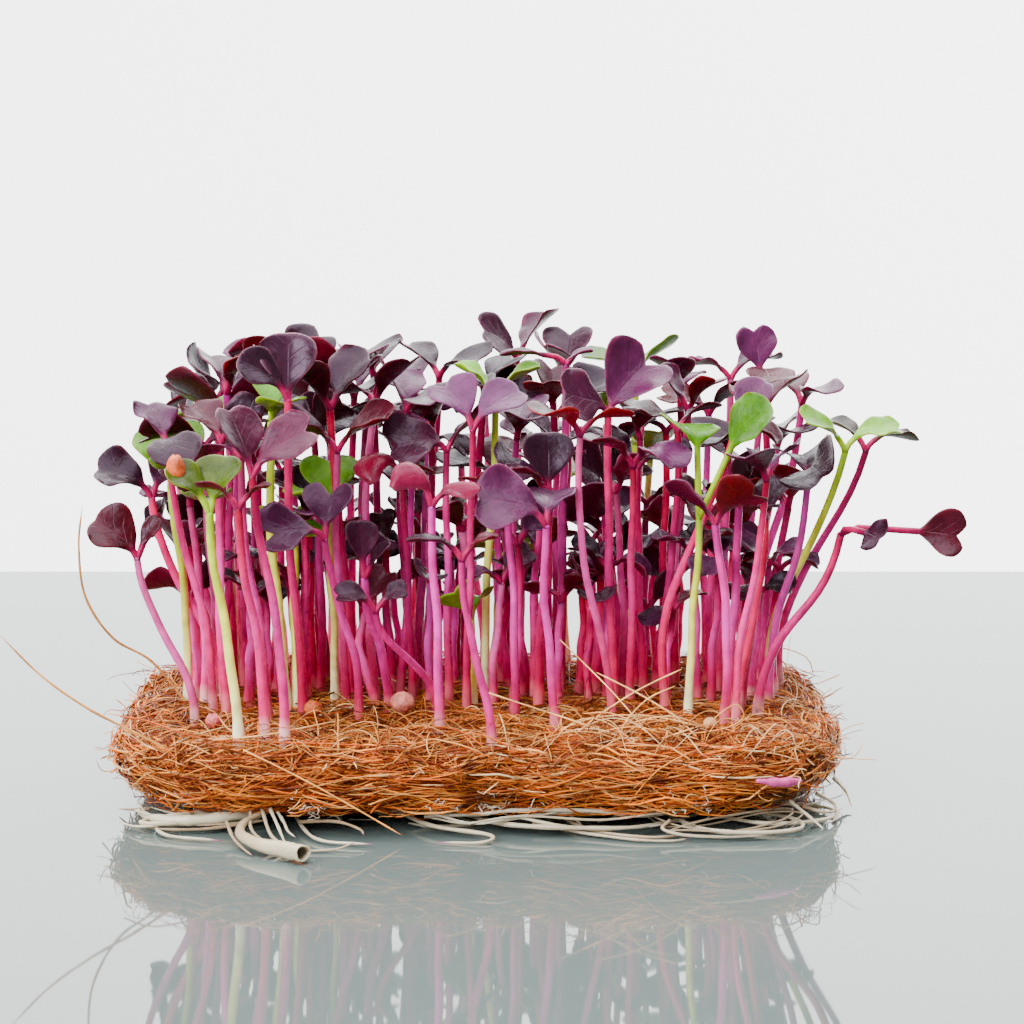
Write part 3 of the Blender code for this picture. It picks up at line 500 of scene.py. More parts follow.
# Leaf colours: the upper face, the face below, and the rim
LEAF_TONES = {
    "purple": [
        (linear(62, 18, 42), linear(92, 4, 26), linear(150, 70, 98)),
        (linear(44, 13, 30), linear(70, 4, 20), linear(128, 58, 80)),
        (linear(78, 24, 62), linear(104, 8, 42), linear(166, 88, 126)),
        (linear(74, 16, 30), linear(108, 4, 18), linear(150, 60, 68)),
        (linear(36, 12, 26), linear(58, 4, 19), linear(112, 54, 72)),
        (linear(90, 34, 76), linear(92, 8, 46), linear(170, 100, 140)),
    ],
    "green": [
        (linear(104, 164, 0), linear(136, 192, 0), linear(190, 216, 60)),
        (linear(80, 140, 0), linear(114, 172, 0), linear(166, 200, 44)),
    ],
}
# Seedlings whose leaves have a colour of their own: upper face, face below, rim
OWN_LEAF_TONES = {
    "pink_dome_seedling": (linear(124, 12, 46), linear(92, 2, 28), linear(204, 92, 126)),
    "pink_cap_seedling": (linear(142, 20, 64), linear(100, 3, 36), linear(208, 98, 134)),
    "lilac_seedling": (linear(104, 44, 92), linear(104, 8, 48), linear(170, 96, 142)),
    "violet_seedling": (linear(92, 10, 66), linear(116, 10, 66), linear(180, 90, 146)),
    "red_under_seedling": (linear(70, 8, 18), linear(170, 6, 24), linear(180, 60, 60)),
    "drooping_seedling": (linear(62, 2, 12), linear(70, 2, 12), linear(110, 36, 40)),
    "tall_front_seedling": (linear(84, 26, 52), linear(104, 4, 28), linear(176, 86, 116)),
    "round_leaf_seedling": (linear(58, 28, 46), linear(104, 8, 36), linear(186, 124, 146)),
    "hulled_green_seedling": (linear(70, 92, 6), linear(98, 140, 8), linear(170, 192, 50)),
    "right_edge_seedling": (linear(46, 42, 14), linear(80, 66, 24), linear(110, 100, 50)),
}
# Leaves with a notch of their own at the tip, as a share of their length
OWN_NOTCHES = {"round_leaf_seedling": 0.02, "small_cup_seedling": 0.03, "hulled_green_seedling": 0.04,
               "drooping_seedling": 0.06, "three_lobed_seedling": 0.36, "dark_oval_seedling": 0.03,
               "forked_green_seedling": 0.02, "bent_seedling": 0.04}
# How light one stem or leaf may be beside the next
STEM_SHADES = (0.78, 1.35)
LEAF_SHADES = (0.45, 0.95)

COIR_TONES = [linear(232, 122, 26), linear(214, 100, 16), linear(240, 148, 54), linear(184, 78, 10),
              linear(244, 164, 84), linear(146, 58, 6), linear(112, 44, 4)]
# Pale straw fibres: partly the coir's own pale fibres, partly painted glints of light on the coir
STRAW_AND_GLINT_TONES = [linear(252, 190, 118), linear(242, 166, 92), linear(254, 214, 160)]
CORE_TONE = linear(140, 58, 6)
LONG_FIBRE_TONE = linear(206, 140, 70)
ROOT_TONE = linear(212, 200, 174)
ROOT_TIP_TONE = linear(150, 30, 120)
STALE_ROOT_TONE = linear(160, 134, 104)
# The near-black brown of the root core, painted as the shadow under the mat
ROOT_CORE_SHADOW_TONE = linear(52, 40, 28)


class Body:
    """Gathers vertices, faces and the values that the shaders read, and makes one mesh of them."""

    def __init__(self):
        self.vertices, self.faces, self.tones, self.places = [], [], [], []

    def loft(self, rings, tones, places=None):
        """Adds a closed tube through rings of points, with a colour and a place on the leaf for each."""
        start, sides = len(self.vertices), len(rings[0])
        for row, ring in enumerate(rings):
            self.vertices.extend(ring)
            self.tones.extend(tones[row])
            self.places.extend(places[row] if places else [(-1.0, 0.0, 0.0)] * sides)
        for row in range(len(rings) - 1):
            for turn in range(sides):
                first, second = start + row * sides + turn, start + row * sides + (turn + 1) % sides
                self.faces.append((first, first + sides, second + sides, second))
        self.faces.append(tuple(range(start, start + sides)))
        self.faces.append(tuple(range(len(self.vertices) - 1, len(self.vertices) - sides - 1, -1)))

    def add(self, vertices, faces, tones):
        """Adds ready arrays of points, faces and colours."""
        start = len(self.vertices)
        self.vertices.extend(vertices)
        self.faces.extend((np.asarray(faces) + start).tolist())
        self.tones.extend(tones)
        self.places.extend([(-1.0, 0.0, 0.0)] * len(vertices))

    def make(self, name, finish, slot, *stands_for):
        """The mesh as a piece on the root body, in metres."""
        mesh = bpy.data.meshes.new(name)
        points = np.array([tuple(point) for point in self.vertices]) * MM
        mesh.from_pydata(points.tolist(), [], self.faces)
        tone = mesh.attributes.new("tone", "FLOAT_COLOR", "POINT")
        rgba = np.ones((len(self.vertices), 4), np.float32)
        rgba[:, :3] = np.array([tuple(colour) for colour in self.tones])
        tone.data.foreach_set("color", rgba.ravel())
        place = mesh.attributes.new("place", "FLOAT_VECTOR", "POINT")
        place.data.foreach_set("vector", np.array(self.places, np.float32).ravel())
        mesh.polygons.foreach_set("use_smooth", [True] * len(mesh.polygons))
        mesh.materials.append(finish)
        made = bpy.data.objects.new(name, mesh)
        bpy.context.scene.collection.objects.link(made)
        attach(made, "root")
        if stands_for:
            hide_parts(*stands_for)
        return made


def tone_at(stops, share):
    """The colour at a share of the way along a list of stops."""
    for (start, first), (end, second) in zip(stops, stops[1:]):
        if share <= end:
            return mixed(first, second, (share - start) / (end - start))
    return stops[-1][1]


# The stems: the sides of each ring, how thick a stem may be beside the model's, and where its rings stand
STEM_SIDES = 10
STEM_GIRTHS = (0.68, 0.86)
STEM_SHARES = [-0.1, -0.03, 0.02, 0.06, 0.11, 0.17] + [0.24 + 0.076 * step for step in range(10)] + [1.0]


def add_stem(body, seedling, draw):
    """The stem: a pale collar in the coir, a firm straight run, and a small dome between its two leaves.
    Inside the stand its lower half is painted darker as shade, over most of the collar.
    """
    colour = seedling.colour
    shift = draw.choice(STEM_SHIFTS[colour])
    strength = draw.uniform(0.0, 0.8)
    bright = draw.uniform(*STEM_SHADES)
    girth = draw.uniform(*STEM_GIRTHS)
    sway = [draw.uniform(0, math.tau) for _ in range(2)]
    collar = draw.uniform(0.015, 0.065)
    # How far the foot lies inside the stand, where the lower stem is painted in shade
    deep = smooth((float(inward(np.array(seedling.foot))) - 9.0) / 8.0)
    foot = stem_point(seedling, 0.0)
    below = (foot - stem_root(seedling)).normalized()
    rings, tones = [], []
    for share in STEM_SHARES:
        point = stem_point(seedling, share) if share >= 0 else foot + below * (share * 40)
        wobble = 0.22 * math.sin(math.pi * min(max(share, 0.0), 1.0))
        point = point + Vector((math.sin(9 * share + sway[0]), math.cos(7 * share + sway[1]), 0)) * wobble
        ahead = stem_point(seedling, min(share + 0.03, 1.0)) - stem_point(seedling, max(share - 0.03, 0.0))
        forward = ahead.normalized() if share > 0 else below
        swollen = 1 + 0.3 * math.exp(-(((share + 0.01) / 0.035) ** 2))
        radius = stem_radius(max(share, 0.0)) * girth * swollen
        rings.append(ring_round(point, forward, radius, STEM_SIDES))
        tone = tone_at(STEM_TONES[colour], max(share, 0.0))
        tone = mixed(tone, shift, strength * smooth((share + 0.1) / 0.3))
        # Painted shade: the lower half of an inner stem darkens towards deep crimson
        if colour == "purple":
            tone = mixed(tone, INNER_SHADE_TONE, 0.7 * deep * (1 - smooth(share / 0.5)))
        # Inside the stand the painted shade also covers most of the pale collar
        pale = 0.75 * (1 - 0.8 * deep) * smooth(1.15 - max(share, 0.0) / collar)
        tone = mixed(tone, COLLAR_TONES[colour], pale)
        tones.append([tone * bright] * STEM_SIDES)
    head = Vector(seedling.head)
    for rise, taper in ((0.35, 0.8), (0.55, 0.35)):
        rings.append(ring_round(head + Vector((0, 0, rise)), Vector((0, 0, 1)), 0.66 * taper, STEM_SIDES))
        tones.append(tones[-1])
    body.loft(rings, tones)


LOBE_START = 0.62
LOBE_REACH = 0.40
SHOULDER = 0.917
SHOULDER_AT = LOBE_START + LOBE_REACH * math.sqrt(1 - SHOULDER**2)
LEAF_COLUMNS = [math.sin(math.pi / 2 * step / 6) for step in range(-6, 7)]
PETIOLE_ROWS = (0.0, 0.25, 0.5, 0.75)
LEAF_ROWS = (0.0, 0.07, 0.15, 0.24, 0.34, 0.45, 0.56, 0.67, 0.77, 0.86, 0.93, 0.975, 1.0)
# A leaf's thickness, how flat it is across, and where along it it begins to thin: most leaves, and those that
# arch downwards
FLAT_LEAF = (0.38, 12, 0.93)
PUFFED_LEAF = (1.5, 2.6, 0.5)


def leaf_half(leaf, along):
    """Half the fine blade's width at a share of its length, up to the lobes' shoulders."""
    full = leaf.length * leaf.width / 2
    if along <= LOBE_START:
        swell = math.sin(math.pi / 2 * max(along, 0.0) / LOBE_START) ** 1.25
        return PETIOLE_RADIUS + (full - PETIOLE_RADIUS) * swell
    return full * math.sqrt(1 - ((along - LOBE_START) / LOBE_REACH) ** 2)


def tip_reach(across, notch):
    """How far the blade reaches, as a share of its length, on a line this far across it."""
    lobes = LOBE_REACH * math.sqrt(1 - (SHOULDER * across) ** 2)
    return LOBE_START + lobes - notch * math.exp(-((across / 0.3) ** 2))


def add_leaf(body, seedling, leaf, tones, draw):
    """A petiole that opens into a cupped, folded blade with two lobes and a thin pale rim."""
    spine = Spine(seedling, leaf)
    shade = draw.uniform(*LEAF_SHADES)
    upper, under, rim = (np.asarray(tone) * shade for tone in tones)
    petiole_tone = tone_at(STEM_TONES[seedling.colour], 0.93)
    notch = OWN_NOTCHES.get(seedling.clump, draw.uniform(0.08, 0.24))
    fold = draw.uniform(0.04, 0.2)
    cup, puffed = leaf.cup, leaf.cup < 0
    if puffed:
        cup, fold = 2.8 * cup, -fold
    thickness, flatness, tapered = PUFFED_LEAF if puffed else FLAT_LEAF
    waves = [(draw.uniform(0.02, 0.09), draw.uniform(0.8, 1.8), draw.uniform(0, math.tau)) for _ in range(2)]
    rings, ring_tones, places = [], [], []
    for on_petiole, share in [(True, s) for s in PETIOLE_ROWS] + [(False, s) for s in LEAF_ROWS]:
        ring, colours, spots = [], [], []
        for top, across in [(1, t) for t in LEAF_COLUMNS] + [(-1, t) for t in reversed(LEAF_COLUMNS[1:-1])]:
            stalk = 1.7 * PETIOLE_RADIUS * math.sqrt(1 - across**2)
            if on_petiole:
                along, half, place = leaf.petiole * share, PETIOLE_RADIUS, share - 1
                thick, lifted = stalk, 0.0
            else:
                along, place = leaf.petiole + leaf.length * share * tip_reach(across, notch), share
                half = leaf_half(leaf, SHOULDER_AT * share)
                sheet = thickness * math.sqrt(1 - abs(across) ** flatness)
                thick = stalk + (sheet - stalk) * smooth(share / 0.2)
                thick *= math.sqrt(max(0.02, 1 - (max(share - tapered, 0) / (1 - tapered)) ** 2))
                lifted = half * smooth(share / 0.3) * (cup * across**2 + fold * abs(across))
                for size, pitch, phase in waves:
                    ripple = math.sin(math.tau * pitch * share + phase + 2 * across)
                    lifted += half * size * ripple * across**2 * smooth(share / 0.3)
            side, normal = spine.sides(along)
            ring.append(spine.centre(along) + side * (half * across) + normal * (lifted + top * thick / 2))
            edge = max(smooth((abs(across) - 0.95) / 0.05), smooth((share - 0.97) / 0.03))
            edge = 0.0 if on_petiole else edge
            face = mixed(upper if top > 0 else under, rim, 0.6 * edge)
            colours.append(mixed(petiole_tone, face, smooth((place + 0.25) / 0.4)))
            spots.append((place, across, top))
        rings.append(ring)
        ring_tones.append(colours)
        places.append(spots)
    body.loft(rings, ring_tones, places)


def make_seedlings(seedlings, finish):
    """One piece for each clump of the model, with its fine stems and leaves, and for each inner group."""
    for name, members in grouped(seedlings).items():
        body = Body()
        for number, seedling in enumerate(members):
            draw = random.Random(f"{name} {number}")
            add_stem(body, seedling, draw)
            own = OWN_LEAF_TONES.get(name)
            for leaf in seedling.leaves:
                add_leaf(body, seedling, leaf, own or draw.choice(LEAF_TONES[seedling.colour]), draw)
        stands_for = [] if name.startswith("inner_") else [name]
        body.make(name + "_fine", finish, members[0].colour + "_seedling", *stands_for)


# The inner seedlings: how many there are, how many feet are tried for them, how close two feet may be, how
# far in from the mat's edge and how far forward they stand, how high their heads may be, which share of them
# is stunted, how steep their leaves may stand, how deep two may meet, how many make one piece, which share
# is green, and how many shapes are tried at one foot
INNER_SEEDLINGS = 120
INNER_TRIES = 3400
INNER_SPACING = 2.1
INNER_INSET = 6.5
INNER_FRONT = -4.0
INNER_TOP = 58.0
STUNTED = 0.14
MOST_LIFT = 44
INNER_GAP = -0.28
IN_A_PIECE = 8
GREEN_SHARE = 0.08
SHAPES_TRIED = 14
# How much lower the heads stay towards the two ends, and where that starts and is complete, in x
END_FALL = 8.0
FALL_FROM, FALL_TO = 26.0, 42.0
# How much longer or shorter than the model's leaves those of an inner seedling are, and how much more cupped
INNER_LEAF, STUNTED_LEAF, INNER_CUP = 1.3, 0.75, 1.5


def add_inner_seedlings(placed, draw):
    """Single seedlings in the gaps of the stand, each clear of the others."""
    standing = [(seedling.foot, room_of(seedling, 0.0, INNER_GAP)) for seedling, _ in placed]
    left, right, _, back = FREE_ZONE
    found = []
    for _ in range(INNER_TRIES):
        x, y = draw.uniform(left, right), draw.uniform(INNER_FRONT, back)
        nearest = min(math.dist((x, y), foot) for foot, _ in standing)
        if not in_mat(x, y, INNER_INSET) or nearest < INNER_SPACING:
            continue
        colour = "green" if draw.random() < GREEN_SHARE else "purple"
        blank = Seedling("inner", colour, (x, y), (x, y, MAT_TOP), [], site=(x, y))
        for _ in range(SHAPES_TRIED):
            tried = drawn_seedling(blank, draw)
            foot, head = Vector((x, y, MAT_TOP)), Vector(tried.head)
            stunted = draw.random() < STUNTED
            reached = draw.uniform(0.35, 0.6) if stunted else draw.triangular(0.7, 1.08, 0.98)
            tried.head = tuple(foot.lerp(head, reached))
            top = INNER_TOP - END_FALL * smooth((abs(x) - FALL_FROM) / (FALL_TO - FALL_FROM))
            tried.head = (*tried.head[:2], min(tried.head[2], top))
            size = STUNTED_LEAF if stunted else INNER_LEAF
            tried.leaves = [replace(leaf, length=leaf.length * size, cup=leaf.cup * INNER_CUP,
                                    lift=min(leaf.lift * 0.8 + draw.gauss(0, 22), MOST_LIFT),
                                    roll=leaf.roll + draw.gauss(0, 22)) for leaf in tried.leaves]
            room = room_of(tried, 0.0, INNER_GAP)
            if not any(room.overlap(other) for _, other in standing):
                standing.append(((x, y), room))
                found.append(tried)
                break
        if len(found) == INNER_SEEDLINGS:
            break
    return found


def grouped(seedlings):
    """The seedlings of each piece, by its name: a clump of the model, or some of the inner seedlings."""
    groups, inner = {}, {"purple": [], "green": []}
    for seedling in seedlings:
        if seedling.clump == "inner":
            inner[seedling.colour].append(seedling)
        else:
            groups.setdefault(seedling.clump, []).append(seedling)
    for colour, members in inner.items():
        for start in range(0, len(members), IN_A_PIECE):
            groups[f"inner_{colour}_{start // IN_A_PIECE + 1:02d}"] = members[start:start + IN_A_PIECE]
    return groups


def fibre_paths(starts, directions, lengths, curls, steps, rng):
    """Bent paths for many fibres at once, as an array of fibre, step, axis."""
    count = len(starts)
    forward = directions / np.linalg.norm(directions, axis=1, keepdims=True)
    bend = rng.normal(size=(count, 3))
    bend -= (bend * forward).sum(1, keepdims=True) * forward
    bend /= np.linalg.norm(bend, axis=1, keepdims=True)
    twist = np.cross(forward, bend)
    phase = rng.uniform(0, math.tau, (count, 1))
    paths = np.empty((count, steps, 3))
    for step in range(steps):
        share = step / (steps - 1)
        bow = (share - share**2) * 4 * curls[:, None]
        wave = np.sin(share * 7 + phase) * curls[:, None] * 0.35
        paths[:, step] = starts + lengths[:, None] * (forward * share + bend * bow + twist * wave)
    return paths


def fibre_mesh(paths, radii, tones, sides=3):
    """Thin tubes along the paths: their points, faces and colours as arrays."""
    count, steps, _ = paths.shape
    ahead = np.gradient(paths, axis=1)
    ahead /= np.linalg.norm(ahead, axis=2, keepdims=True) + 1e-9
    side = np.cross(ahead, np.array([0.31, 0.52, 0.79]))
    side /= np.linalg.norm(side, axis=2, keepdims=True) + 1e-9
    other = np.cross(ahead, side)
    turns = np.arange(sides) * math.tau / sides
    taper = np.ones(steps)
    taper[0] = taper[-1] = 0.35
    reach = radii[:, None, None, None] * taper[None, :, None, None]
    ring = np.cos(turns)[:, None] * side[:, :, None, :] + np.sin(turns)[:, None] * other[:, :, None, :]
    points = paths[:, :, None, :] + ring * reach
    index = np.arange(count * steps * sides).reshape(count, steps, sides)
    near, far = index[:, :-1], index[:, 1:]
    faces = np.stack([near, np.roll(near, -1, 2), np.roll(far, -1, 2), far], axis=-1).reshape(-1, 4)
    colours = np.repeat(tones, steps * sides, axis=0)
    return points.reshape(-1, 3), faces, colours


def fibre_tones(count, rng, straw=0.1):
    """A brown for each fibre, here and there a pale straw one that is partly a painted glint, light and dark
    ones mixed.
    """
    picked = np.array(COIR_TONES)[rng.integers(0, len(COIR_TONES), count)]
    pale = rng.uniform(size=count) < straw
    picked[pale] = np.array(STRAW_AND_GLINT_TONES)[rng.integers(0, len(STRAW_AND_GLINT_TONES), pale.sum())]
    return picked * rng.uniform(0.75, 1.25, (count, 1))


def mat_edge(places, inset):
    """Points of the mat's rounded outline, each at a share of the way round, and the way out at each."""
    corner = MAT_CORNER
    wide, deep = MAT_WIDTH / 2 - corner, MAT_DEPTH / 2 - corner
    arc = math.pi / 2 * corner
    spans = [2 * deep, arc, 2 * wide, arc, 2 * deep, arc, 2 * wide, arc]
    ends = np.cumsum(spans)
    place = np.asarray(places) % 1.0 * ends[-1]
    points, outward = np.zeros((len(place), 2)), np.zeros((len(place), 2))
    for quarter, middle in enumerate(((wide, deep), (-wide, deep), (-wide, -deep), (wide, -deep))):
        angle = quarter * math.pi / 2
        out = np.array([math.cos(angle), math.sin(angle)])
        ahead = np.array([-math.sin(angle), math.cos(angle)])
        span, end, far_end = spans[2 * quarter], ends[2 * quarter], ends[2 * quarter + 1]
        straight = (place >= end - span) & (place < end)
        back = place - end
        points[straight] = np.array(middle) + out * (corner - inset) + back[straight][:, None] * ahead
        outward[straight] = out
        bend = (place >= end) & (place < far_end)
        angles = angle + back[bend] / corner
        out = np.stack([np.cos(angles), np.sin(angles)], 1)
        points[bend] = np.array(middle) + out * (corner - inset)
        outward[bend] = out
    return points, outward


def held_in(paths, limits):
    """Pulls every point that stands further out of the mat's outline than its fibre's limit back to it."""
    middle = np.array([MAT_WIDTH / 2 - MAT_CORNER, MAT_DEPTH / 2 - MAT_CORNER])
    flat = paths[..., :2]
    beyond = np.maximum(np.abs(flat) - middle, 0)
    away = np.linalg.norm(beyond, axis=-1)
    over = np.maximum(away - MAT_CORNER - limits[:, None], 0)
    flat -= np.sign(flat) * beyond / (away + 1e-9)[..., None] * over[..., None]


def scattered(count, rng):
    """Points strewn over the mat's plan."""
    found = np.empty((0, 2))
    while len(found) < count:
        tried = rng.uniform(-1, 1, (count, 2)) * np.array([MAT_WIDTH / 2, MAT_DEPTH / 2])
        inside = np.array([in_mat(x, y, 0.6) for x, y in tried])
        found = np.concatenate([found, tried[inside]])
    return found[:count]


def headings(count, rng, rise):
    """Level directions in every quarter, each tipped a little."""
    turn = rng.uniform(0, math.tau, count)
    return np.stack([np.cos(turn), np.sin(turn), rng.normal(0, rise, count)], 1)


def add_fibres(name, finish, paths, radii, rng, straw=0.1, shade=1.0):
    """Fibres along the paths, most of them thin and a few thick."""
    body = Body()
    sizes = radii[0] + (radii[1] - radii[0]) * rng.uniform(size=len(paths)) ** 2
    body.add(*fibre_mesh(paths, sizes, fibre_tones(len(paths), rng, straw) * shade))
    body.make(name, finish, "coir")


def inward(points):
    """How far points of the plan lie in from the mat's outline."""
    middle = np.array([MAT_WIDTH / 2 - MAT_CORNER, MAT_DEPTH / 2 - MAT_CORNER])
    beyond = np.maximum(np.abs(points) - middle, 0)
    return MAT_CORNER - np.linalg.norm(beyond, axis=-1)


def top_level(points):
    """The height of the mat's lumpy top, which falls away towards its edge."""
    x, y = points[..., 0], points[..., 1]
    lumps = 0.45 * np.sin(0.21 * x + 1.3) * np.sin(0.29 * y + 0.4) + 0.3 * np.sin(0.5 * x + 0.37 * y)
    return MAT_TOP + lumps - 2.6 * np.clip(1 - inward(points) / 7.0, 0, 1.2) ** 2


def edge_reach(place, level):
    """How far the mat's uneven side stands out at a share of the way round and at a height."""
    lumps = 0.6 * np.sin(math.tau * 7 * place + 0.5) + 0.4 * np.sin(math.tau * 19 * place + 2 + 0.3 * level)
    shoulder = 2.8 * np.clip((level - 8.8) / 3.4, 0, 1.2) ** 2
    end = np.clip((np.abs(mat_edge(place, 0.0)[0][:, 0]) - 28.0) / 18.0, 0, 1)
    foot = (2.6 + 2.6 * end) * np.clip((6.6 + 1.6 * end - level) / (3.4 + 1.6 * end), 0, 1.1) ** 1.6
    return lumps - shoulder - foot


# The mat's core: how many points each of its rings has, and the height and inset of each ring
CORE_POINTS = 160
CORE_RINGS = ((MAT_UNDERSIDE + 0.5, 3.2), (MAT_UNDERSIDE + 1.8, 2.4), (7.4, 2.0), (9.2, 2.2), (10.8, 2.6),
              (MAT_TOP - 1.1, 6.0))


def make_coir_core(finish, rng):
    """The dark inside of the mat, just under its fibres."""
    core = Body()
    places = np.arange(CORE_POINTS) / CORE_POINTS
    rings = []
    for level, inset in CORE_RINGS:
        points, outward = mat_edge(places, inset)
        shift = rng.uniform(-0.4, 0.4, len(points)) + edge_reach(places, level)
        points = points + outward * shift[:, None]
        rings.append([Vector((x, y, level + rng.uniform(-0.2, 0.2))) for x, y in points])
    core.loft(rings, [[CORE_TONE] * CORE_POINTS for _ in rings])
    core.make("coir_core", finish, "coir", "coir_mat")


FIBRE_STEPS = 7
TOP_FIBRES = 4500
SIDE_FIBRES = 5000
BOTTOM_FIBRES = 500
ARCHED_FIBRES = 480
LOOSE_FIBRES = 190


def make_top_fibres(finish, rng):
    """The fibres that lie over the mat's top, painted darker than those of the sides as shade."""
    count = TOP_FIBRES
    ways = headings(count, rng, 0.1)
    lengths = rng.uniform(4, 17, count)
    starts = np.column_stack([scattered(count, rng), rng.normal(-0.35, 0.42, count)])
    paths = fibre_paths(starts - ways * lengths[:, None] / 2, ways, lengths, rng.normal(0, 0.1, count),
                        FIBRE_STEPS, rng)
    top = np.abs(rng.normal(0.4, 0.5, count))
    paths[..., 2] = np.minimum(np.maximum(paths[..., 2], -2.0), top[:, None])
    held_in(paths, np.abs(rng.normal(0, 0.7, count)) - 0.6)
    paths[..., 2] += top_level(paths[..., :2])
    # Painted shade: the top's fibres are darkened to 0.58 of their colour
    add_fibres("coir_top", finish, paths, (0.05, 0.19), rng, 0.12, 0.58)


def make_side_fibres(finish, rng):
    """The fibres round the mat's sides, most of them lying along its edge."""
    count = SIDE_FIBRES
    place = rng.uniform(size=count)
    points, outward = mat_edge(place, 0.0)
    level = rng.uniform(MAT_UNDERSIDE - 0.2, MAT_TOP - 0.2, count)
    reach = edge_reach(place, level)
    spots = points + outward * (reach - rng.uniform(-0.2, 1.8, count))[:, None]
    along = np.column_stack([-outward[:, 1], outward[:, 0]]) * rng.choice([-1, 1], count)[:, None]
    tilt = rng.normal(0, 1, count) * np.where(rng.uniform(size=count) < 0.14, 0.6, 0.17)
    ways = np.column_stack([along + outward * rng.normal(0, 0.12, (count, 1)), tilt])
    lengths = rng.uniform(2.5, 13, count)
    starts = np.column_stack([spots, level]) - ways * lengths[:, None] / 2
    paths = fibre_paths(starts, ways, lengths, rng.normal(0, 0.08, count), FIBRE_STEPS, rng)
    low = MAT_UNDERSIDE - 0.1 - np.abs(rng.normal(0, 0.35, count))
    paths[..., 2] = np.minimum(np.maximum(paths[..., 2], low[:, None]), MAT_TOP + 0.3)
    held_in(paths, reach + 0.3 + np.abs(rng.normal(0, 0.5, count)))
    add_fibres("coir_sides", finish, paths, (0.05, 0.2), rng, 0.1, 0.9)


# The root hairs caught in the mat's lower edge: their colour, their number, and how many tufts they make
SPECK_TONE = linear(246, 226, 204)
EDGE_SPECKS = 700
TUFTS = 60


def make_edge_specks(finish, rng):
    """Short pale root hairs caught in the lower edge of the mat."""
    count = EDGE_SPECKS
    tufts = rng.uniform(size=TUFTS)
    place = tufts[rng.integers(0, TUFTS, count)] + rng.normal(0, 0.004, count)
    points, outward = mat_edge(place, 0.0)
    level = 3.2 + np.abs(rng.normal(0, 1.1, count))
    spots = points + outward * (edge_reach(place, level) + rng.uniform(-0.3, 0.5, count))[:, None]
    ways = rng.normal(0, 1, (count, 3))
    paths = fibre_paths(np.column_stack([spots, level]), ways, rng.uniform(0.5, 1.5, count),
                        rng.normal(0, 0.3, count), 4, rng)
    paths[..., 2] = np.maximum(paths[..., 2], 2.6)
    body = Body()
    shades = SPECK_TONE * rng.uniform(0.8, 1.05, (count, 1))
    body.add(*fibre_mesh(paths, rng.uniform(0.06, 0.13, count), shades))
    body.make("edge_hairs", finish, "root")


def make_bottom_fibres(finish, rng):
    """The fibres of the mat's underside."""
    count = BOTTOM_FIBRES
    ways = headings(count, rng, 0.05)
    lengths = rng.uniform(6, 18, count)
    starts = np.column_stack([scattered(count, rng), rng.uniform(3.0, 4.0, count)])
    paths = fibre_paths(starts - ways * lengths[:, None] / 2, ways, lengths, rng.normal(0, 0.1, count),
                        FIBRE_STEPS, rng)
    paths[..., 2] = np.clip(paths[..., 2], 2.8, 4.4)
    held_in(paths, rng.uniform(-3.0, -1.2, count))
    add_fibres("coir_bottom", finish, paths, (0.06, 0.15), rng)


def make_arched_fibres(finish, rng):
    """Thin fibres that rise out of the top in low arches, most of them along the front, painted a little
    darker as shade.
    """
    count = ARCHED_FIBRES
    spots = scattered(count, rng)
    toward = rng.uniform(0, 1, count) < 0.6
    spots[toward, 1] = -MAT_DEPTH / 2 + 4 + np.abs(rng.normal(0, 6, toward.sum()))
    ways = headings(count, rng, 0.05)
    lengths = rng.uniform(4, 16, count)
    starts = np.column_stack([spots, np.full(count, MAT_TOP - 0.4)]) - ways * lengths[:, None] / 2
    paths = fibre_paths(starts, ways, lengths, rng.normal(0, 0.09, count), 10, rng)
    rise = np.abs(rng.normal(0, 1.5, count)) + 0.3
    share = np.linspace(0, 1, 10)
    shift = rng.uniform(0.6, 1.6, (count, 1))
    paths[..., 2] += rise[:, None] * np.sin(math.pi * share**shift)
    held_in(paths, rng.uniform(-1.0, 1.5, count))
    # Painted shade: these fibres are darkened to 0.72 of their colour
    add_fibres("coir_arches", finish, paths, (0.05, 0.13), rng, 0.34, 0.72)


def make_loose_fibres(finish, rng):
    """The short ends that stick out of the edge, and the long fibres that are placed one by one."""
    loose = Body()
    draw = random.Random(SEED)
    for path in LONG_FIBRES:
        add_strand(loose, path, [0.21, 0.2, 0.13], LONG_FIBRE_TONE, draw, sides=6)
    for path, radius, tone in OWN_FIBRES:
        add_strand(loose, path, [radius] * 3, tone, draw, sides=5)
    count = LOOSE_FIBRES
    points, outward = mat_edge(rng.uniform(size=count), 0.0)
    ways = np.column_stack([outward * rng.uniform(0.4, 1.0, (count, 1)), rng.normal(0.1, 0.3, count)])
    ways[:, :2] += rng.normal(0, 0.5, (count, 2))
    starts = np.column_stack([points - outward * 0.6, rng.uniform(5.5, MAT_TOP, count)])
    paths = fibre_paths(starts, ways, rng.uniform(2, 6.0, count), rng.normal(0, 0.16, count), 8, rng)
    loose.add(*fibre_mesh(paths, rng.uniform(0.05, 0.1, count), fibre_tones(count, rng, 0.35)))
    loose.make("coir_loose", finish, "coir")


STRAW, TAN, BROWN = STRAW_AND_GLINT_TONES[0], COIR_TONES[4], COIR_TONES[3]
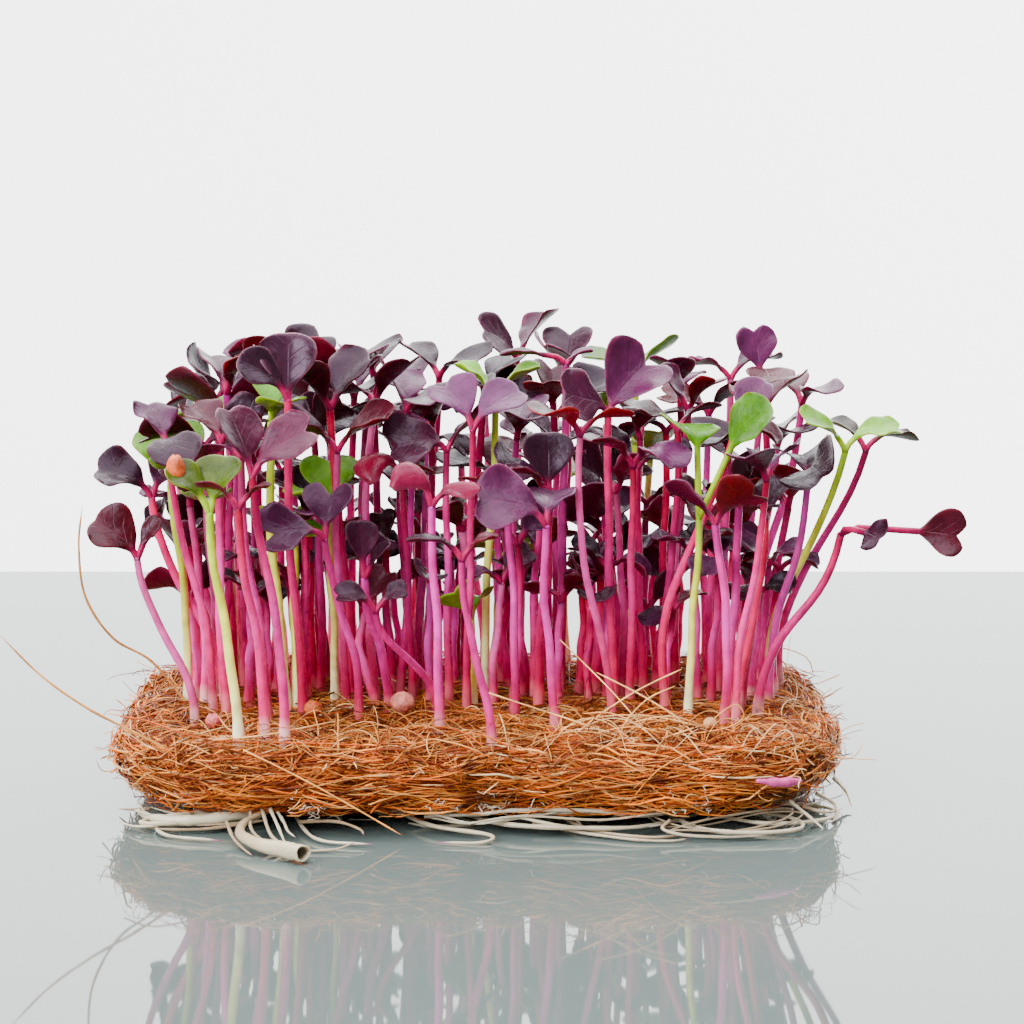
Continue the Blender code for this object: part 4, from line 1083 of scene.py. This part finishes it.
# Fibres placed one by one: the points of each, its radius and its colour
OWN_FIBRES = [
    ([(14, -24, 12.6), (18, -25, 16), (23, -24, 19), (29, -22, 21.5)], 0.13, STRAW),
    ([(31, -26, 12.6), (28, -26, 15.5), (23, -25, 18.5), (17, -22, 21)], 0.12, STRAW),
    ([(20, -27, 12.4), (21, -27, 15), (24, -26, 18), (28, -24, 19.5)], 0.11, STRAW),
    ([(12, -21, 12.6), (17, -22, 14.5), (24, -23, 15), (32, -23, 13.4)], 0.12, STRAW),
    ([(26, -27, 12.4), (24, -27, 14), (19, -26, 16), (15, -24, 15.5)], 0.1, TAN),
    ([(33, -22, 12.6), (30, -24, 14.5), (26, -26, 15.5), (20, -27, 14.4)], 0.11, STRAW),
    ([(16, -27, 12.4), (17, -28, 13.6), (22, -28, 14.5), (27, -27, 13.2)], 0.1, TAN),
    ([(12, -12, 23.7), (19, -20, 18.1), (24.4, -27, 13.1)], 0.1, STRAW),
    ([(0.6, -18, 17.6), (11.9, -22, 14.7), (23, -28, 12.6), (31.3, -28, 14.6)], 0.12, STRAW),
    ([(-54.2, -12, 6.3), (-49, -21, 9), (-41.4, -27, 12.0), (-29.9, -30, 13.7), (-18.4, -24, 14.7)],
     0.13, STRAW),
    ([(-32, -33.5, 12.5), (-24.1, -35, 8.9), (-17.2, -35.4, 5.1), (-10.1, -35.6, 0.9)], 0.12, TAN),
    ([(-50.2, -22, 14.7), (-45.6, -26, 14.8), (-37.2, -29, 12.9), (-24.3, -31, 12.9), (-13.2, -31.5, 12.6)],
     0.14, BROWN),
    ([(38.2, -26, 12.9), (45, -25, 10.6), (50.5, -22.5, 9), (56.9, -20, 7.9)], 0.1, STRAW),
    ([(32, -24, 12.8), (34, -25, 15.5), (36.5, -25, 17), (37.6, -25, 15.4), (36, -25, 14), (33, -25, 13.2),
      (29, -25, 12.8)], 0.1, TAN),
]


def curve_points(path, each=8):
    """A smooth path through the given points, with this many steps between two of them."""
    points = [Vector(point) for point in path]
    points = [points[0] * 2 - points[1], *points, points[-1] * 2 - points[-2]]
    made = []
    for before, start, end, after in zip(points, points[1:], points[2:], points[3:]):
        for step in range(each):
            t = step / each
            squared = 2 * before - 5 * start + 4 * end - after
            cubed = 3 * start - before - 3 * end + after
            made.append(0.5 * (2 * start + (end - before) * t + squared * t**2 + cubed * t**3))
    made.append(points[-2])
    return made


def add_strand(body, path, radii, colour, draw, sides=8, each=8, tip=0.4, tip_tone=None):
    """A strand along a smooth path, a little uneven in its thickness, tapered at its end."""
    points = curve_points(path, each)
    rings, tones = [], []
    phase = draw.uniform(0, math.tau)
    for index, point in enumerate(points):
        share = index / (len(points) - 1)
        low = min(int(share * (len(radii) - 1)), len(radii) - 2)
        radius = mixed(radii[low], radii[low + 1], share * (len(radii) - 1) - low)
        radius *= 1 + 0.1 * math.sin(index * 0.9 + phase) + draw.gauss(0, 0.03)
        radius *= 1 - (1 - tip) * smooth((share - 0.9) / 0.1)
        forward = way_at(points, index)
        side = forward.cross(Vector((0.2, 0.1, 1.0))).normalized()
        other = forward.cross(side)
        rings.append([point + (side * math.cos(math.tau * turn / sides)
                               + other * math.sin(math.tau * turn / sides)) * float(radius)
                      for turn in range(sides)])
        tone = np.asarray(colour)
        if tip_tone is not None:
            tone = mixed(tone, tip_tone, smooth((share - 0.93) / 0.05))
        tones.append([tone] * sides)
    body.loft(rings, tones)


# Thin roots at the front, placed one by one, and how each thins from its start to its tip
THIN_ROOT_RADII = [0.27, 0.23, 0.17, 0.11]
THIN_ROOTS = [
    [(-31.2, -32, 3.4), (-30.7, -37, 2.0), (-27.6, -43, 1.3), (-23.5, -46, 0.5)],
    [(-29.6, -32, 3.6), (-27.8, -38, 1.3), (-24.2, -41.5, 0.4), (-19.4, -41.5, 0.4), (-16.4, -40, 1.0)],
    [(-28.4, -32.5, 3.8), (-26.8, -37, 1.8), (-25.8, -40, 0.5)],
    [(-34.4, -34, 2.4), (-33.2, -38, 1.2), (-31.3, -42, 0.5), (-30.2, -44, 0.3)],
    [(-24.5, -30, 1.4), (-19.3, -33, 2.2), (-16, -35.6, 1.8), (-15.3, -36.4, 1.2)],
    [(-27.5, -32, 3.4), (-26.4, -35, 2.6), (-25.7, -37.5, 2.0), (-24.6, -38.6, 1.4)],
    [(-40, -28, 1.6), (-44, -31, 1.2), (-47.5, -30.5, 0.9), (-50, -27, 0.6)],
    [(-46, -24, 1.8), (-49, -22, 1.2), (-51, -19, 0.6)],
    [(6, -32, 2.6), (12, -33, 1.6), (20, -33.5, 1.3), (27, -32, 1.6)],
    [(8, -30, 1.2), (15, -33, 0.6), (22, -36, 0.4), (27, -36.5, 0.35), (29.5, -35.6, 0.5)],
    [(27, -33, 2.4), (26, -35, 1.6), (30, -36, 0.9), (38, -35.4, 0.7), (44, -33, 1.0)],
    [(46, -25, 2.4), (49, -26, 1.8), (51.5, -22, 1.2), (52.4, -17, 0.7)],
    [(48, -24, 4.0), (50.5, -23, 2.4), (51, -24.5, 1.0), (50, -26.5, 0.4)],
    [(51.5, -12, 3.4), (53.2, -14, 1.8), (53.6, -18, 0.7)],
    [(44, -27.5, 3.8), (47, -29, 1.6), (48.6, -30.4, 0.4)],
]
HOLLOW_ROOT = [(-29.5, -31, 2.9), (-31.8, -35, 2.6), (-32.0, -39, 1.9), (-29.2, -43, 1.5),
               (-25.4, -45.6, 1.5), (-23.0, -48.0, 1.6)]
# The broad pale root at the left, and its radius at each point
BROAD_ROOT = [(-29, -27, 2.4), (-34, -29.6, 2.1), (-40, -30.4, 1.7), (-45, -28.6, 1.6), (-48, -25, 1.9)]
BROAD_RADII = [0.5, 0.75, 0.8, 0.62, 0.3]
# Flat bundles of roots: the middle line of each, how far its strands lie apart, and how many there are
ROOT_BUNDLES = [
    ([(-31, -25, 2.4), (-36, -28.5, 2.1), (-42, -29.4, 1.9), (-46, -27, 2.0), (-47.8, -24, 2.1)], 1.0, 4),
    ([(-30, -29, 1.4), (-37, -31, 1.1), (-43, -30.4, 1.0), (-46.6, -28.4, 0.9)], 0.8, 3),
    ([(-6, -30, 2.4), (0, -31.8, 2.6), (7, -32.2, 2.9), (16, -32.2, 2.9), (24, -31, 2.9), (32, -27, 2.8)],
     0.36, 4),
    ([(22, -28, 2.4), (28, -33.6, 1.7), (36, -34.8, 1.4), (43, -31.6, 1.7), (45.6, -27.4, 2.2),
      (40, -28.6, 2.7), (31, -31.8, 2.1), (26, -33.8, 1.3), (30, -36, 0.9), (40, -34.6, 0.8),
      (46.5, -28.8, 0.9)], 0.7, 2),
    ([(43, -26, 3.2), (47, -22, 2.7), (49.3, -16, 2.0), (50.8, -9, 1.4)], 1.0, 3),
    ([(-43, 10, 1.6), (-47, 17, 1.4), (-42, 26, 1.3), (-30, 29, 1.4), (-20, 26, 1.6)], 0.9, 6),
    ([(8, 25, 1.8), (18, 31, 1.4), (31, 31, 1.3), (42, 25, 1.4), (48, 15, 1.5)], 0.9, 6),
]
FINE_ROOTS = 170
# The core of matted roots, painted dark as the shadow under the mat: how many points each of its rings has,
# and the height and inset of each ring
ROOT_CORE_POINTS = 120
ROOT_CORE_RINGS = ((0.05, 14.0), (1.4, 11.0), (3.8, 9.0))


def root_shade(draw):
    """The colour of one root: cream, or duller and browner."""
    return mixed(ROOT_TONE, STALE_ROOT_TONE, draw.random() ** 1.6) * draw.uniform(0.75, 1.0)


def add_bundle(body, path, spread, count, draw):
    """Some thin roots side by side, each wandering a little from the bundle's middle line."""
    for _ in range(count):
        aside = draw.gauss(0, spread)
        strand = []
        start = draw.choice((0, 0, 1)) if len(path) > 4 else 0
        end = len(path) - draw.choice((0, 0, 1)) if len(path) > 4 else len(path)
        for index, (x, y, z) in list(enumerate(path))[start:end]:
            before, after = path[max(index - 1, 0)], path[min(index + 1, len(path) - 1)]
            way = Vector((after[0] - before[0], after[1] - before[1], 0)).normalized()
            strand.append((x - way.y * aside + draw.gauss(0, 0.55), y + way.x * aside + draw.gauss(0, 0.55),
                           max(z + draw.gauss(0, 0.4), 0.35)))
        radius = draw.uniform(0.12, 0.34)
        add_strand(body, strand, [radius, radius, radius * 0.6], root_shade(draw), draw, 8, 8)


def make_roots(finish):
    """The roots: long pale strands below, a felt of thin ones under the mat dimmed as painted shade, and a
    core painted dark as the mat's shadow.
    """
    draw = random.Random(SEED)
    rng = np.random.default_rng(SEED + 1)
    strands = Body()
    for radius, path in ROOT_STRANDS:
        # The thickest strand is the hollow root, which has a shape of its own
        if radius > 1:
            continue
        settled = [(x, y, max(z - 0.2, 0.4)) for x, y, z in path]
        sizes = [radius * share for share in (0.62, 0.68, 0.55, 0.4)]
        add_strand(strands, settled, sizes, root_shade(draw), draw, 10, 10, tip_tone=ROOT_TIP_TONE)
    for path, spread, count in ROOT_BUNDLES:
        add_bundle(strands, path, spread, count, draw)
    for path in THIN_ROOTS:
        add_strand(strands, path, THIN_ROOT_RADII, root_shade(draw), draw, 8, 8, tip_tone=ROOT_TIP_TONE)
    add_strand(strands, BROAD_ROOT, BROAD_RADII, ROOT_TONE, draw, 10, 10)
    add_hollow_root(strands, draw)
    strands.make("root_strands", finish, "root", "root_mat")

    felt = Body()
    count = FINE_ROOTS
    ways = headings(count, rng, 0.0)
    lengths = rng.uniform(10, 34, count)
    starts = np.column_stack([scattered(count, rng) * 0.86, rng.uniform(0.5, 3.4, count)])
    starts -= ways * lengths[:, None] / 2
    paths = fibre_paths(starts, ways, lengths, rng.normal(0, 0.2, count), 14, rng)
    paths[..., 2] = np.clip(paths[..., 2], 0.25, 3.6)
    held_in(paths, rng.normal(-5.5, 2.0, count).clip(-9, -1))
    # Painted shade: the felt under the mat is dimmed to 0.45 to 0.95 of the roots' colour
    shades = ROOT_TONE * rng.uniform(0.45, 0.95, (count, 1))
    felt.add(*fibre_mesh(paths, rng.uniform(0.1, 0.26, count), shades, sides=6))
    felt.make("root_felt", finish, "root")

    # Matted roots under the mat, painted dark as its shadow
    core = Body()
    places = np.arange(ROOT_CORE_POINTS) / ROOT_CORE_POINTS
    rings = []
    for level, inset in ROOT_CORE_RINGS:
        points, outward = mat_edge(places, inset)
        points = points + outward * rng.uniform(-1.2, 1.2, (len(points), 1))
        rings.append([Vector((x, y, level)) for x, y in points])
    core.loft(rings, [[ROOT_CORE_SHADOW_TONE] * ROOT_CORE_POINTS for _ in rings])
    core.make("root_core", finish, "root")


def add_hollow_root(body, draw):
    """The thick root at the front left, cut across and hollow at its end, the inside of the hollow painted
    darker deeper in as shade.
    """
    points = curve_points(HOLLOW_ROOT, 8)
    sides = 16
    rings, tones = [], []
    for index, point in enumerate(points):
        share = index / (len(points) - 1)
        forward = way_at(points, index)
        side = forward.cross(Vector((0.0, 0.0, 1.0))).normalized()
        other = side.cross(forward)
        wide = 0.55 + 0.85 * smooth((share - 0.15) / 0.85)
        ring = []
        for step in range(sides):
            turn = math.tau * step / sides
            ridge = wide * (1 + 0.1 * math.sin(3 * turn + 0.13 * index) + draw.gauss(0, 0.03))
            ring.append(point + side * (math.cos(turn) * ridge) + other * (math.sin(turn) * 0.84 * ridge))
        rings.append(ring)
        tones.append([mixed(STALE_ROOT_TONE, ROOT_TONE, 0.2 + 0.6 * smooth((share - 0.3) / 0.6))] * sides)
    end, forward = points[-1], (points[-1] - points[-2]).normalized()
    # Painted shade: the rings inside the open end darken deeper in
    for back, scale, shade in ((-0.12, 0.92, 1.0), (0.0, 0.8, 0.8), (0.9, 0.74, 0.4), (3.0, 0.5, 0.24)):
        rings.append([end - forward * back + (corner - end) * scale for corner in rings[len(points) - 1]])
        tones.append([ROOT_TONE * shade] * sides)
    body.loft(rings, tones)


def seed_body(centre, radius, colour, draw, squeeze=(1.0, 0.86, 0.8)):
    """A seed: a lumpy ball with a shallow furrow."""
    body = Body()
    rings, tones = [], []
    turn = draw.uniform(0, math.tau)
    middle = Vector(centre)
    for row in range(1, 16):
        polar = math.pi * row / 16
        ring, shades = [], []
        for step in range(24):
            angle = math.tau * step / 24
            way = Vector((math.sin(polar) * math.cos(angle), math.sin(polar) * math.sin(angle),
                          math.cos(polar)))
            lumps = 0.12 * noise.noise(way * 1.8 + middle) + 0.05 * noise.noise(way * 5 + middle)
            reach = radius * (1 + lumps)
            reach *= 1 - 0.1 * math.exp(-((math.sin(angle) / 0.2) ** 2)) * (math.cos(angle) > 0)
            local = Vector((way.x * squeeze[0], way.y * squeeze[1], way.z * squeeze[2])) * reach
            across = Vector((local.x * math.cos(turn) - local.y * math.sin(turn),
                             local.x * math.sin(turn) + local.y * math.cos(turn), local.z))
            ring.append(middle + across)
            shades.append(np.asarray(colour) * (1 + 0.5 * noise.noise(way * 3 + middle)))
        rings.append(ring)
        tones.append(shades)
    body.loft(rings, tones)
    return body


SEED_COLOURS = {
    "seed_left": linear(196, 84, 92),
    "seed_brown": linear(190, 84, 20),
    "seed_pink": linear(206, 118, 104),
    "seed_right": linear(196, 150, 104),
}


def make_seeds(finish, skin, stand):
    """The seeds of the model, the hull that one green leaf still wears, and the bit of stem on the edge."""
    draw = random.Random(SEED)
    wearer = next(seedling for seedling in stand if seedling.clump == "hulled_green_seedling")
    leaf = wearer.leaves[2]
    tip = Spine(wearer, leaf).centre(leaf.petiole + leaf.length * 0.8)
    hull = seed_body(tip, 1.75, linear(200, 84, 26), draw, (0.76, 0.76, 1.25))
    hull.make("leaf_hull", finish, "seed_coat")
    for name, (centre, radius) in SEEDS.items():
        seed = seed_body(centre, radius, SEED_COLOURS[name], draw)
        seed.make(name + "_fine", finish, "seed_coat", name)
    fallen = Body()
    radii = [FALLEN_RADIUS * taper for taper in (0.3, 0.8, 0.9, 0.5)]
    add_strand(fallen, FALLEN_PIECE, radii, linear(208, 84, 150), draw, sides=12, each=10, tip=0.3)
    fallen.make("fallen_piece_fine", skin, "purple_seedling", "fallen_piece")


class Finish:
    """A procedural material that is built up node by node."""

    def __init__(self, name, roughness):
        self.material = bpy.data.materials.new(name)
        self.material.use_nodes = True
        self.nodes = self.material.node_tree.nodes
        self.links = self.material.node_tree.links
        self.shader = self.nodes["Principled BSDF"]
        self.shader.inputs["Roughness"].default_value = roughness

    def set(self, values):
        for name, value in values.items():
            self.shader.inputs[name].default_value = value

    def attribute(self, name, output):
        node = self.nodes.new("ShaderNodeAttribute")
        node.attribute_name = name
        return node.outputs[output]

    def noise(self, scale, detail=3.0, stretch=(1, 1, 1)):
        place = self.nodes.new("ShaderNodeTexCoord")
        mapping = self.nodes.new("ShaderNodeMapping")
        mapping.inputs["Scale"].default_value = stretch
        node = self.nodes.new("ShaderNodeTexNoise")
        node.inputs["Scale"].default_value = scale
        node.inputs["Detail"].default_value = detail
        self.links.new(place.outputs["Object"], mapping.inputs["Vector"])
        self.links.new(mapping.outputs["Vector"], node.inputs["Vector"])
        return node.outputs["Fac"]

    def math(self, operation, first, second=None, third=None):
        node = self.nodes.new("ShaderNodeMath")
        node.operation = operation
        for socket, value in zip(node.inputs, (first, second, third)):
            if value is None:
                continue
            if isinstance(value, (int, float)):
                socket.default_value = value
            else:
                self.links.new(value, socket)
        return node.outputs[0]

    def ranged(self, value, low, high, to_low, to_high):
        node = self.nodes.new("ShaderNodeMapRange")
        self.links.new(value, node.inputs["Value"])
        for name, number in (("From Min", low), ("From Max", high), ("To Min", to_low), ("To Max", to_high)):
            node.inputs[name].default_value = number
        return node.outputs["Result"]

    def mix(self, share, first, second, blend="MIX"):
        node = self.nodes.new("ShaderNodeMix")
        node.data_type = "RGBA"
        node.blend_type = blend
        for socket, value in ((node.inputs[0], share), (node.inputs[6], first), (node.inputs[7], second)):
            if isinstance(value, (int, float, tuple)):
                socket.default_value = value
            else:
                self.links.new(value, socket)
        return node.outputs[2]

    def bump(self, height, strength, distance):
        node = self.nodes.new("ShaderNodeBump")
        node.inputs["Strength"].default_value = strength
        node.inputs["Distance"].default_value = distance
        self.links.new(height, node.inputs["Height"])
        self.links.new(node.outputs["Normal"], self.shader.inputs["Normal"])

    def feed(self, name, value):
        self.links.new(value, self.shader.inputs[name])


def skin_finish():
    """Seed leaves and stems: mottled, with a midrib and faint side veins on the blades."""
    made = Finish("seedling_skin", 0.4)
    place = made.nodes.new("ShaderNodeSeparateXYZ")
    made.links.new(made.attribute("place", "Vector"), place.inputs["Vector"])
    along, across = place.outputs[0], place.outputs[1]
    aside = made.math("ABSOLUTE", across)
    on_blade = made.ranged(along, 0.02, 0.25, 0.0, 1.0)
    rib = made.math("MULTIPLY", made.ranged(aside, 0.02, 0.07, 1.0, 0.0), on_blade)
    rib = made.math("MULTIPLY", rib, made.ranged(along, 0.5, 0.95, 1.0, 0.2))
    slanted = made.math("SUBTRACT", made.math("MULTIPLY", along, 3.6), made.math("MULTIPLY", aside, 1.9))
    slanted = made.math("ADD", slanted, made.math("MULTIPLY", made.noise(380, 1), 0.5))
    wave = made.math("PINGPONG", slanted, 0.5)
    vein = made.math("MULTIPLY", made.ranged(wave, 0.02, 0.07, 1.0, 0.0), on_blade)
    vein = made.math("MULTIPLY", vein, made.ranged(aside, 0.4, 0.85, 0.6, 0.0))
    lines = made.math("MAXIMUM", rib, vein)
    blotches = made.ranged(made.noise(380, 4), 0.3, 0.7, 0.74, 1.26)
    streaks = made.ranged(made.noise(1500, 2, (1, 1, 0.08)), 0.3, 0.7, 0.86, 1.14)
    shade = made.math("MULTIPLY", blotches, streaks)
    tone = made.mix(1.0, made.attribute("tone", "Color"), shade, "MULTIPLY")
    pale = made.mix(1.0, tone, (1.8, 1.5, 1.6, 1.0), "MULTIPLY")
    made.feed("Base Color", made.mix(made.math("MULTIPLY", lines, 0.16), tone, pale))
    gloss = made.ranged(made.noise(800, 2), 0.3, 0.7, -0.07, 0.07)
    made.feed("Roughness", made.math("ADD", gloss, made.ranged(along, -0.3, 0.2, 0.3, 0.28)))
    made.feed("Subsurface Weight", made.ranged(along, -0.3, 0.2, 0.4, 0.12))
    grain = made.math("MULTIPLY", made.noise(1500, 3), 0.3)
    crinkle = made.math("MULTIPLY", made.noise(420, 2), 1.3)
    relief = made.math("ADD", made.math("MULTIPLY", lines, -0.4), made.math("ADD", grain, crinkle))
    made.bump(relief, 0.6, 0.00018)
    made.set({"Specular IOR Level": 0.2, "Specular Tint": (0.86, 0.74, 1.0, 1.0),
              "Subsurface Scale": 0.0012, "Subsurface Radius": (1.0, 0.25, 0.4)})
    return made.material


def coir_finish(name):
    """Coir: brown fibres with darker and paler stretches and a dull gloss."""
    made = Finish(name, 0.5)
    streaks = made.ranged(made.noise(260, 4), 0.3, 0.7, 0.6, 1.35)
    specks = made.ranged(made.noise(3500, 2), 0.3, 0.7, 0.86, 1.14)
    shade = made.math("MULTIPLY", streaks, specks)
    tone = made.mix(1.0, made.attribute("tone", "Color"), shade, "MULTIPLY")
    made.feed("Base Color", tone)
    made.feed("Roughness", made.ranged(made.noise(1500, 2), 0.3, 0.7, 0.34, 0.6))
    made.bump(made.noise(4200, 3), 0.5, 0.00008)
    made.set({"Specular IOR Level": 0.24})
    return made.material


def root_finish():
    """Roots: moist, white and a little see-through, with faint tan blotches."""
    made = Finish("root_skin", 0.3)
    blotch = made.ranged(made.noise(160, 4), 0.5, 0.75, 0.0, 0.4)
    made.feed("Base Color", made.mix(blotch, made.attribute("tone", "Color"), (0.5, 0.36, 0.2, 1.0)))
    made.feed("Roughness", made.ranged(made.noise(1200, 2), 0.3, 0.7, 0.16, 0.4))
    made.bump(made.noise(1600, 4), 0.6, 0.00014)
    made.set({"Subsurface Weight": 0.4, "Subsurface Scale": 0.0012, "Subsurface Radius": (1.0, 0.85, 0.7)})
    return made.material


def seed_finish():
    """Seed coats: wrinkled, pitted and a little waxy."""
    made = Finish("seed_skin", 0.5)
    shade = made.ranged(made.noise(700, 4), 0.3, 0.7, 0.6, 1.35)
    made.feed("Base Color", made.mix(1.0, made.attribute("tone", "Color"), shade, "MULTIPLY"))
    made.feed("Roughness", made.ranged(made.noise(1400, 2), 0.3, 0.7, 0.4, 0.65))
    made.bump(made.noise(2400, 4), 0.9, 0.00018)
    made.set({"Subsurface Weight": 0.15, "Subsurface Scale": 0.001, "Subsurface Radius": (1.0, 0.5, 0.3)})
    return made.material


def table_finish():
    """A smooth pale glass tabletop with a barely seen unevenness."""
    made = Finish("pale_tabletop", 0.08)
    darker, lighter = (0.095, 0.13, 0.126, 1.0), (0.107, 0.142, 0.138, 1.0)
    made.feed("Base Color", made.mix(made.noise(14, 3), darker, lighter))
    made.feed("Roughness", made.ranged(made.noise(60, 3), 0.3, 0.7, 0.02, 0.04))
    made.bump(made.noise(240, 2), 0.02, 0.00005)
    return made.material


def backdrop_finish():
    """A white backdrop, a little uneven, that glows as a light of its own, more brightly towards the right.
    """
    made = Finish("white_backdrop", 1.0)
    tone = made.mix(made.noise(1.6, 1), (0.93, 0.94, 0.96, 1.0), (1.0, 1.0, 1.0, 1.0))
    made.feed("Base Color", tone)
    made.feed("Emission Color", tone)
    place = made.nodes.new("ShaderNodeTexCoord")
    parts = made.nodes.new("ShaderNodeSeparateXYZ")
    made.links.new(place.outputs["Object"], parts.inputs["Vector"])
    # Painted light: the glow rises from 0.72 to full strength across the backdrop
    glow = made.ranged(parts.outputs[0], -0.6, 0.6, 0.72 * BACKDROP_GLOW, BACKDROP_GLOW)
    made.feed("Emission Strength", glow)
    return made.material


# How brightly the backdrop glows, and how far behind the part the table ends, in metres
BACKDROP_GLOW = 4.2
TABLE_END = 0.18
TABLE_REACH = 1.6
TABLE_THICKNESS = 0.012


def stage_mesh(name, points, faces, finish, bevel=None):
    mesh = bpy.data.meshes.new(name)
    mesh.from_pydata(points, [], faces)
    mesh.materials.append(finish)
    made = bpy.data.objects.new(name, mesh)
    bpy.context.scene.collection.objects.link(made)
    if bevel:
        rounding = made.modifiers.new("rounding", "BEVEL")
        rounding.width = bevel
        rounding.segments = 4


def make_stage():
    """A tabletop that ends behind the part, and a white backdrop further off."""
    corners = [(-TABLE_REACH, -TABLE_REACH), (TABLE_REACH, -TABLE_REACH), (TABLE_REACH, TABLE_END),
               (-TABLE_REACH, TABLE_END)]
    points = [(x, y, z) for z in (-TABLE_THICKNESS, 0.0) for x, y in corners]
    faces = [(3, 2, 1, 0), (4, 5, 6, 7)] + [(n, (n + 1) % 4, (n + 1) % 4 + 4, n + 4) for n in range(4)]
    stage_mesh("tabletop", points, faces, table_finish(), 0.004)
    wall = [(-2.2, 1.6, -1.2), (2.2, 1.6, -1.2), (2.2, 1.6, 2.2), (-2.2, 1.6, 2.2)]
    stage_mesh("backdrop", wall, [(0, 1, 2, 3)], backdrop_finish())


def area_light(name, place, target, size, power, colour):
    light = bpy.data.lights.new(name, "AREA")
    light.shape = "RECTANGLE"
    light.size, light.size_y = size
    light.energy = power
    light.color = colour
    made = bpy.data.objects.new(name, light)
    made.location = place
    made.rotation_euler = (Vector(target) - Vector(place)).to_track_quat("-Z", "Y").to_euler()
    bpy.context.scene.collection.objects.link(made)


def make_lights():
    """A wide soft light overhead, a smaller one from the front left, and a pale surrounding."""
    world = bpy.data.worlds.new("studio")
    bpy.context.scene.world = world
    world.use_nodes = True
    world.node_tree.nodes["Background"].inputs["Color"].default_value = (0.95, 0.96, 0.98, 1.0)
    world.node_tree.nodes["Background"].inputs["Strength"].default_value = 0.42
    target = (0.0, 0.0, 0.03)
    area_light("overhead", (-0.1, 0.1, 1.2), target, (2.0, 1.8), 84.0, (1.0, 0.98, 0.96))
    area_light("front_left", (-0.9, -1.1, 0.75), target, (0.8, 0.8), 44.0, (1.0, 0.98, 0.96))


# The camera's lens and sensor in millimetres, its place in metres, and its tilt in degrees from straight down
CAMERA_LENS = 125.3
CAMERA_SENSOR = 36.0
CAMERA_PLACE = (0.0051, -0.514, 0.1235)
CAMERA_TILT = 80.81


def make_camera():
    """The camera, at the photograph's angle."""
    camera = bpy.data.cameras.new("camera")
    camera.lens = CAMERA_LENS
    camera.sensor_width = CAMERA_SENSOR
    camera.clip_start = 0.01
    made = bpy.data.objects.new("camera", camera)
    made.location = CAMERA_PLACE
    made.rotation_euler = (math.radians(CAMERA_TILT), 0.0, 0.0)
    bpy.context.scene.collection.objects.link(made)
    bpy.context.scene.camera = made


def settled_stand():
    """The model's seedlings, and then the inner ones, each clear of the others."""
    placed, draw = all_seedlings()
    return [seedling for seedling, _ in placed] + add_inner_seedlings(placed, draw)


def make_coir(finish, core_finish):
    """The felt of coir fibres: a dark core, and fibres over its top, round its sides and below."""
    rng = np.random.default_rng(SEED)
    make_coir_core(core_finish, rng)
    make_top_fibres(finish, rng)
    make_side_fibres(finish, rng)
    make_bottom_fibres(finish, rng)
    make_arched_fibres(finish, rng)
    make_loose_fibres(finish, rng)
    make_edge_specks(finish, rng)


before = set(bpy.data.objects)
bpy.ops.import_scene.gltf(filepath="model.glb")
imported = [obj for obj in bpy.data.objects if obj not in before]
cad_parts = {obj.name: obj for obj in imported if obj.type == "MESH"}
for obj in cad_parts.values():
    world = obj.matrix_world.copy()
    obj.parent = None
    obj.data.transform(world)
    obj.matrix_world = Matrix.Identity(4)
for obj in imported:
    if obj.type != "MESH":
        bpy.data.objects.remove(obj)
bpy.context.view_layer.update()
make_stage()
make_lights()
make_camera()
skin = skin_finish()
stand = settled_stand()
make_seedlings(stand, skin)
make_coir(coir_finish("coir_fibres"), coir_finish("coir_heart"))
make_roots(root_finish())
make_seeds(seed_finish(), skin, stand)
